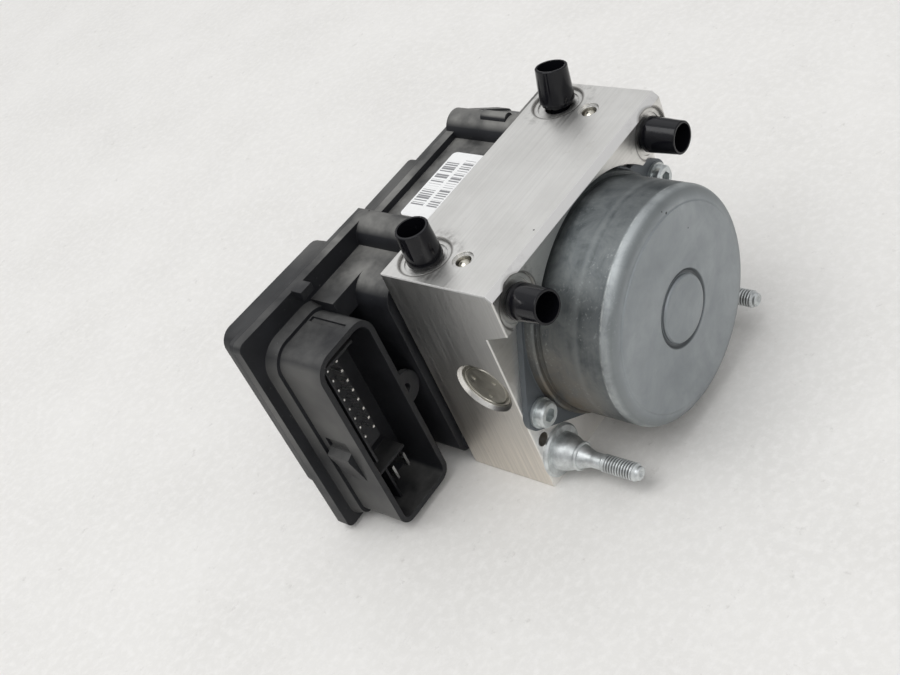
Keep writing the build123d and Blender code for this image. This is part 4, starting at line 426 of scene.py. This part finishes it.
zinc = can_steel.mix(on_face, side_metal, front_metal)
# A painted highlight: the rounded rim is painted lighter, in a broad pale band along the rounding broken
# up by the mottle.
on_corner = can_steel.sum("MULTIPLY",
                          can_steel.ramp(reach, can_radius - can_corner, can_radius - 0.4 * can_corner),
                          can_steel.ramp(along, side_end - 1.6 * MM, side_end + 0.4 * MM, 1.0, 0.0))
zinc = can_steel.mix(can_steel.sum("MULTIPLY", on_corner, 0.4), zinc, (0.32, 0.345, 0.35))
wear_and_rim_highlight = can_steel.sum("MULTIPLY", can_steel.band(along, side_end - 1.1 * MM, 1.2 * MM, 1.2 * MM),
                       can_steel.ramp(mottle, 0.34, 0.6, 0.3, 0.85))
zinc = can_steel.mix(wear_and_rim_highlight, zinc, (0.43, 0.455, 0.46))
# Painted shade: a dark line in the groove round the button.
groove_shade = can_steel.band(reach, button_groove_radius, button_groove_width, 0.35 * MM)
groove_shade = can_steel.sum("MULTIPLY", groove_shade, on_face)
zinc = can_steel.mix(can_steel.sum("MULTIPLY", groove_shade, 0.75), zinc, (0.05, 0.055, 0.06))
for centre, size in chips:
    chip = can_steel.ramp(can_steel.away(centre, (1, 1, 1)), 0.5 * size, size, 1.0, 0.0)
    zinc = can_steel.mix(chip, zinc, (0.03, 0.03, 0.03))
worn_line = can_steel.sum("MULTIPLY", can_steel.band(along, side_end, 0.25 * MM, 0.3 * MM),
                          can_steel.ramp(can_steel.noise(130, 5, 0.7), 0.46, 0.6, 0.0, 0.55))
zinc = can_steel.mix(can_steel.sum("MULTIPLY", worn_line, on_side), zinc, (0.62, 0.64, 0.63))
flange = can_steel.ramp(along, foot_face - flange_front, foot_face - flange_front + 0.3 * MM)
zinc = can_steel.mix(flange, zinc, (0.14, 0.155, 0.168))
can_steel.colour(zinc)
can_steel.roughness(can_steel.ramp(mottle, 0.3, 0.7, 0.44, 0.6))
unevenness = can_steel.sum("ADD", mottle, can_steel.sum("MULTIPLY", fine, 0.8))
can_steel.relief(unevenness, 0.01 * MM, 0.4 * MM)
can_steel.give("motor_can")

screw_zinc = plain("screw_zinc", (0.74, 0.78, 0.78), 0.34, metallic=0.85,
                   spread=0.4, scale=330, depth=0.02)
screw_zinc.give("motor_screws", "unit_screws")
plain("shield_steel", (0.4, 0.41, 0.42), 0.35, metallic=1.0).give("bearing_shield")
plain("magnet_ferrite", (0.03, 0.03, 0.032), 0.6, spread=0.4, scale=900, depth=0.03).give("field_magnets")
plain("bush_bronze", (0.55, 0.36, 0.18), 0.4, metallic=1.0, scale=1200, depth=0.02).give("shaft_bushes")
plain("brush_plastic", (0.05, 0.035, 0.022), 0.5, depth=0.02).give("brush_plate", "motor_lead")
plain("carbon", (0.025, 0.025, 0.026), 0.42, spread=0.4, scale=900).give("brushes")
plain("commutator_copper", (0.72, 0.36, 0.2), 0.28, metallic=1.0, scale=300).give("commutator")
plain("contact_tin", (0.78, 0.78, 0.77), 0.3, metallic=1.0, spread=0.15).give(
    "motor_lead_pins",
    "signal_pins",
    "power_blades",
)

# The core is a stack of thin stamped sheets, so its sides show their edges as fine lines.
sheet_thickness = 0.5 * MM
core_steel = Finish("core_steel", (0.3, 0.3, 0.31), 0.4, metallic=1.0)
_, depth_in, _ = core_steel.axes()
sheets = core_steel.sum("SINE", core_steel.sum("MULTIPLY", depth_in, 2 * math.pi / sheet_thickness))
core_steel.relief(sheets, 0.04 * MM)
core_steel.roughness(core_steel.ramp(core_steel.noise(500), 0.3, 0.7, 0.32, 0.52))
core_steel.give("rotor_core")

# Enamelled copper wire, laid in turn beside turn.
wire_pitch = 0.6 * MM
winding = Finish("winding_copper", (0.45, 0.16, 0.07), 0.3, metallic=0.9)
wire_place = winding.sum("MULTIPLY", winding.away(motor_axis, (1, 0, 1)), 2 * math.pi / wire_pitch)
wires = winding.sum("SINE", wire_place)
winding.relief(wires, 0.12 * MM)
# The colour is painted darker between the turns and lighter on their crests, as painted shade and
# highlight.
winding.colour(winding.mix(winding.ramp(wires, -1, 1), (0.22, 0.07, 0.03), (0.55, 0.22, 0.1)))
winding.give("rotor_windings")

# ---------------------------------------------------------------- mounting studs
# Turned from steel bar and zinc plated, now dull: a wide thin disc against the block, a bell-shaped
# collar that the rubber mount slides over, a plain shank and a rolled thread with a dog point.
stud_low, stud_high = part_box("mounting_studs")
stud_flange = (stud_high[2] - stud_low[2]) / 2
stud_across = stud_high[0] - stud_flange
stud_height = (stud_low[2] + stud_high[2]) / 2
thread_radius = 3 * MM
thread_depth = 0.55 * MM
thread_pitch = 1 * MM
threaded_length = 13.5 * MM  # with the point
point_length = 1.8 * MM
thread_start = stud_low[1] + threaded_length
thread_end = stud_low[1] + point_length
ring_steps = 8
round_steps = 40

stud_zinc = Finish("stud_zinc", (0.7, 0.73, 0.73), 0.42, metallic=0.8)
grain = stud_zinc.noise(240, 5, 0.65)
plating = stud_zinc.mix(stud_zinc.ramp(grain, 0.32, 0.66), (0.46, 0.48, 0.48), (0.8, 0.83, 0.83))
axis_points = [(side * stud_across, 0, stud_height) for side in (-1, 1)]
near_reach, far_reach = [stud_zinc.away(point, (1, 0, 1)) for point in axis_points]
reach = stud_zinc.sum("MINIMUM", near_reach, far_reach)
_, along, _ = stud_zinc.axes()
in_thread = stud_zinc.band(along, (thread_start + thread_end) / 2, thread_start - thread_end, 0.1 * MM)
# Painted shade in the thread's roots.
root_shade = stud_zinc.ramp(reach, thread_radius - 0.45 * MM, thread_radius - 0.1 * MM, 1.0, 0.0)
plating = stud_zinc.mix(stud_zinc.sum("MULTIPLY", in_thread, root_shade), plating, (0.1, 0.1, 0.1))
stud_zinc.colour(plating)
stud_zinc.roughness(stud_zinc.ramp(grain, 0.3, 0.7, 0.34, 0.54))
stud_zinc.relief(grain, 0.03 * MM, 0.15 * MM)
stud_zinc.give("mounting_studs")

# The rolled thread: the plain barrel is taken out of a copy of the studs and a screw thread put in.
studs = bpy.data.objects.new("threaded_studs", nodes["mounting_studs"].data.copy())
bpy.context.scene.collection.objects.link(studs)
work = bmesh.new()
work.from_mesh(studs.data)
barrel = []
for face in work.faces:
    far_off = [math.hypot(abs(v.co.x) - stud_across, v.co.z - stud_height) for v in face.verts]
    inside = all(thread_end - 0.01 * MM < v.co.y < thread_start + 0.01 * MM for v in face.verts)
    if inside and min(far_off) > thread_radius - 0.05 * MM:
        barrel.append(face)
bmesh.ops.delete(work, geom=barrel, context="FACES")
length = thread_start - thread_end
rows = round(length / thread_pitch * ring_steps)
for side in (-1, 1):
    grid = []
    for row in range(rows + 1):
        along_thread = length * row / rows
        run_out = min(1.0, along_thread / (1.5 * thread_pitch), (length - along_thread) / thread_pitch)
        ring = []
        for step in range(round_steps):
            turn = (along_thread / thread_pitch + step / round_steps) % 1
            flank = min(1.0, 1.25 * abs(2 * turn - 1))
            radius = thread_radius - thread_depth * run_out * (1 - flank)
            angle = 2 * math.pi * step / round_steps
            ring.append(work.verts.new((
                side * stud_across + radius * math.cos(angle),
                thread_start - along_thread,
                stud_height + radius * math.sin(angle),
            )))
        grid.append(ring)
    for upper, lower in zip(grid, grid[1:]):
        for step in range(round_steps):
            after = (step + 1) % round_steps
            face = work.faces.new((upper[step], upper[after], lower[after], lower[step]))
            face.smooth = True
work.to_mesh(studs.data)
work.free()
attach(studs, "module")
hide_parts("mounting_studs")

# ---------------------------------------------------------------- control unit
# Frame and lid are moulded in glass-filled black plastic. The frame closes over the valve coils,
# carries the connector shroud and the screw posts, and has gathered dust on its flat tops.
# A pale grey for dust and for the painted light on the outer sides facing -X.
DUST_AND_SIDE_LIGHT = (0.3, 0.295, 0.275)


def moulded(name, colour, dust_and_side_light):
    """Black plastic with a fine moulded grain and rounded edges, dusty on its tops, and paler on its
    outer sides facing -X, partly dusty and partly painted light.
    """
    finish = Finish(name, colour, 0.46, Specular_IOR_Level=0.35)
    grain = finish.noise(1400, 3, 0.6)
    drift = finish.noise(70, 4, 0.58)
    specks = finish.noise(1100, 2, 0.5)
    across, _, _ = finish.axes()
    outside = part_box("ecu_frame")[0][0]
    lying = finish.sum("MULTIPLY", finish.facing((0, 0, 1)), finish.ramp(drift, 0.36, 0.64, 0.1, dust_and_side_light))
    lying = finish.sum("MULTIPLY", lying, finish.ramp(across, -54 * MM, -46 * MM, 0.45, 1.4))
    # The outer sides facing -X are paler: partly dust, partly painted light.
    outer = finish.ramp(across, outside + 9 * MM, outside + 12 * MM, 1.0, 0.0)
    side_dust_and_light = finish.sum("MULTIPLY", finish.facing((-1, 0, 0)), outer)
    haze = finish.ramp(finish.noise(26, 3, 0.5), 0.4, 0.64, 0.04, 0.6 * dust_and_side_light)
    side_dust_and_light = finish.sum("MULTIPLY", side_dust_and_light, haze)
    body = finish.mix(finish.ramp(finish.noise(70, 5), 0.35, 0.7), colour, tuple(1.6 * c for c in colour))
    body = finish.mix(finish.ramp(specks, 0.72, 0.8, 0.0, 0.2), body, DUST_AND_SIDE_LIGHT)
    finish.colour(finish.mix(finish.sum("MAXIMUM", lying, side_dust_and_light), body, DUST_AND_SIDE_LIGHT))
    finish.roughness(finish.ramp(drift, 0.3, 0.7, 0.4, 0.6))
    finish.relief(grain, 0.02 * MM, 0.35 * MM)
    return finish


moulded("housing_plastic", (0.0105, 0.011, 0.013), 0.5).give("ecu_frame")
moulded("lid_plastic", (0.0115, 0.012, 0.014), 0.22).give("ecu_lid")
plain("board_laminate", (0.02, 0.09, 0.04), 0.35, spread=0.3).give("circuit_board")

# A paper label lies on the ledge between the screw posts. It carries only two plain rows of ticks.
paper = Finish("label_paper", (0.8, 0.8, 0.79), 0.55)
along_label, over_label, _ = paper.axes()
tick_pitch = 1.05 * MM
label_rows = (  # place, width, start, end and the number its ticks are drawn from
    (33.3 * MM, 5.2 * MM, -11.5 * MM, 10.5 * MM, 0.0),
    (27.0 * MM, 4.2 * MM, -11.5 * MM, 12.0 * MM, 41.0),
)
place = paper.sum("DIVIDE", along_label, tick_pitch)
ink = 0.0
for row_place, row_width, row_start, row_end, row_seed in label_rows:
    number = paper.sum("ADD", paper.sum("FLOOR", place), row_seed)
    chance = paper.node("ShaderNodeTexWhiteNoise", {"W": number}, noise_dimensions="1D").outputs["Value"]
    tick = paper.sum("LESS_THAN", paper.sum("FRACT", place), paper.sum("MULTIPLY", chance, 0.95))
    row = paper.band(over_label, row_place, row_width, 0.15 * MM)
    span = paper.band(along_label, (row_start + row_end) / 2, row_end - row_start, 0.05 * MM)
    ink = paper.sum("ADD", ink, paper.sum("MULTIPLY", tick, paper.sum("MULTIPLY", row, span)))
pulp = paper.noise(900, 4, 0.6)
sheet = paper.mix(paper.ramp(pulp, 0.3, 0.7), (0.84, 0.84, 0.83), (0.9, 0.9, 0.89))
paper.colour(paper.mix(paper.sum("MULTIPLY", ink, 0.85), sheet, (0.14, 0.14, 0.15)))
paper.relief(pulp, 0.01 * MM)
paper.give("label")

# ---------------------------------------------------------------- floor, light and camera
# The module stands on a plain pale stone slab, under a large soft lamp high above it, two weak
# ones beside that and a bright ceiling.
floor_size = 4.0
bpy.ops.mesh.primitive_plane_add(size=floor_size)
floor = bpy.context.object
floor.name = "floor"
stone = Finish("floor_stone", (0.8, 0.79, 0.77), 0.6)
veins = stone.noise(18, 6, 0.6)
speckle = stone.noise(330, 4, 0.7)
slab = stone.mix(stone.ramp(veins, 0.3, 0.7), (0.75, 0.735, 0.705), (0.81, 0.795, 0.765))
slab = stone.mix(stone.ramp(speckle, 0.45, 0.7, 0.0, 0.6), slab, (0.88, 0.865, 0.84))
grit = stone.ramp(stone.noise(150, 5, 0.75), 0.62, 0.72, 0.0, 0.45)
stone.colour(stone.mix(grit, slab, (0.5, 0.48, 0.45)))
stone.relief(speckle, 0.03 * MM)
floor.data.materials.append(stone.material)

world = bpy.data.worlds.new("studio")
bpy.context.scene.world = world
world.use_nodes = True
sky = world.node_tree
back = sky.nodes["Background"]
ray = sky.nodes.new("ShaderNodeTexCoord")
split = sky.nodes.new("ShaderNodeSeparateXYZ")
climb = sky.nodes.new("ShaderNodeValToRGB")
climb.color_ramp.elements[0].position = 0.02
climb.color_ramp.elements[0].color = (0.22, 0.22, 0.223, 1)
climb.color_ramp.elements[1].position = 0.85
climb.color_ramp.elements[1].color = (0.85, 0.86, 0.88, 1)
sky.links.new(ray.outputs["Generated"], split.inputs[0])
sky.links.new(split.outputs["Z"], climb.inputs["Fac"])
sky.links.new(climb.outputs["Color"], back.inputs["Color"])
back.inputs["Strength"].default_value = 0.88

lamp_aim = Vector((0, 0, 0.04))


def lamp(name, place, size, power):
    """A round soft lamp, turned towards the module."""
    data = bpy.data.lights.new(name, "AREA")
    data.shape = "DISK"
    data.size = size
    data.energy = power
    made = bpy.data.objects.new(name, data)
    bpy.context.scene.collection.objects.link(made)
    made.location = place
    made.rotation_euler = (lamp_aim - Vector(place)).to_track_quat("-Z", "Y").to_euler()


lamp("key_lamp", (-0.9, 0.5, 2.9), 2.6, 40)
lamp("fill_lamp", (-1.1, -2.0, 1.7), 1.5, 10)
lamp("back_lamp", (1.5, 1.7, 2.1), 2.2, 3)

camera_place = (-0.2369, -0.25605, 0.3199)
camera_heading = math.radians(-36.5)
camera_tilt = math.radians(51.2)
camera_roll = math.radians(-26)
camera_data = bpy.data.cameras.new("camera")
camera_data.lens = 54.1
camera_data.sensor_width = 36
camera = bpy.data.objects.new("camera", camera_data)
bpy.context.scene.collection.objects.link(camera)
camera.matrix_world = (
    Matrix.Translation(camera_place)
    @ Matrix.Rotation(camera_heading, 4, "Z")
    @ Matrix.Rotation(camera_tilt, 4, "X")
    @ Matrix.Rotation(camera_roll, 4, "Z")
)
bpy.context.scene.camera = camera
bpy.context.scene.view_settings.view_transform = "Standard"
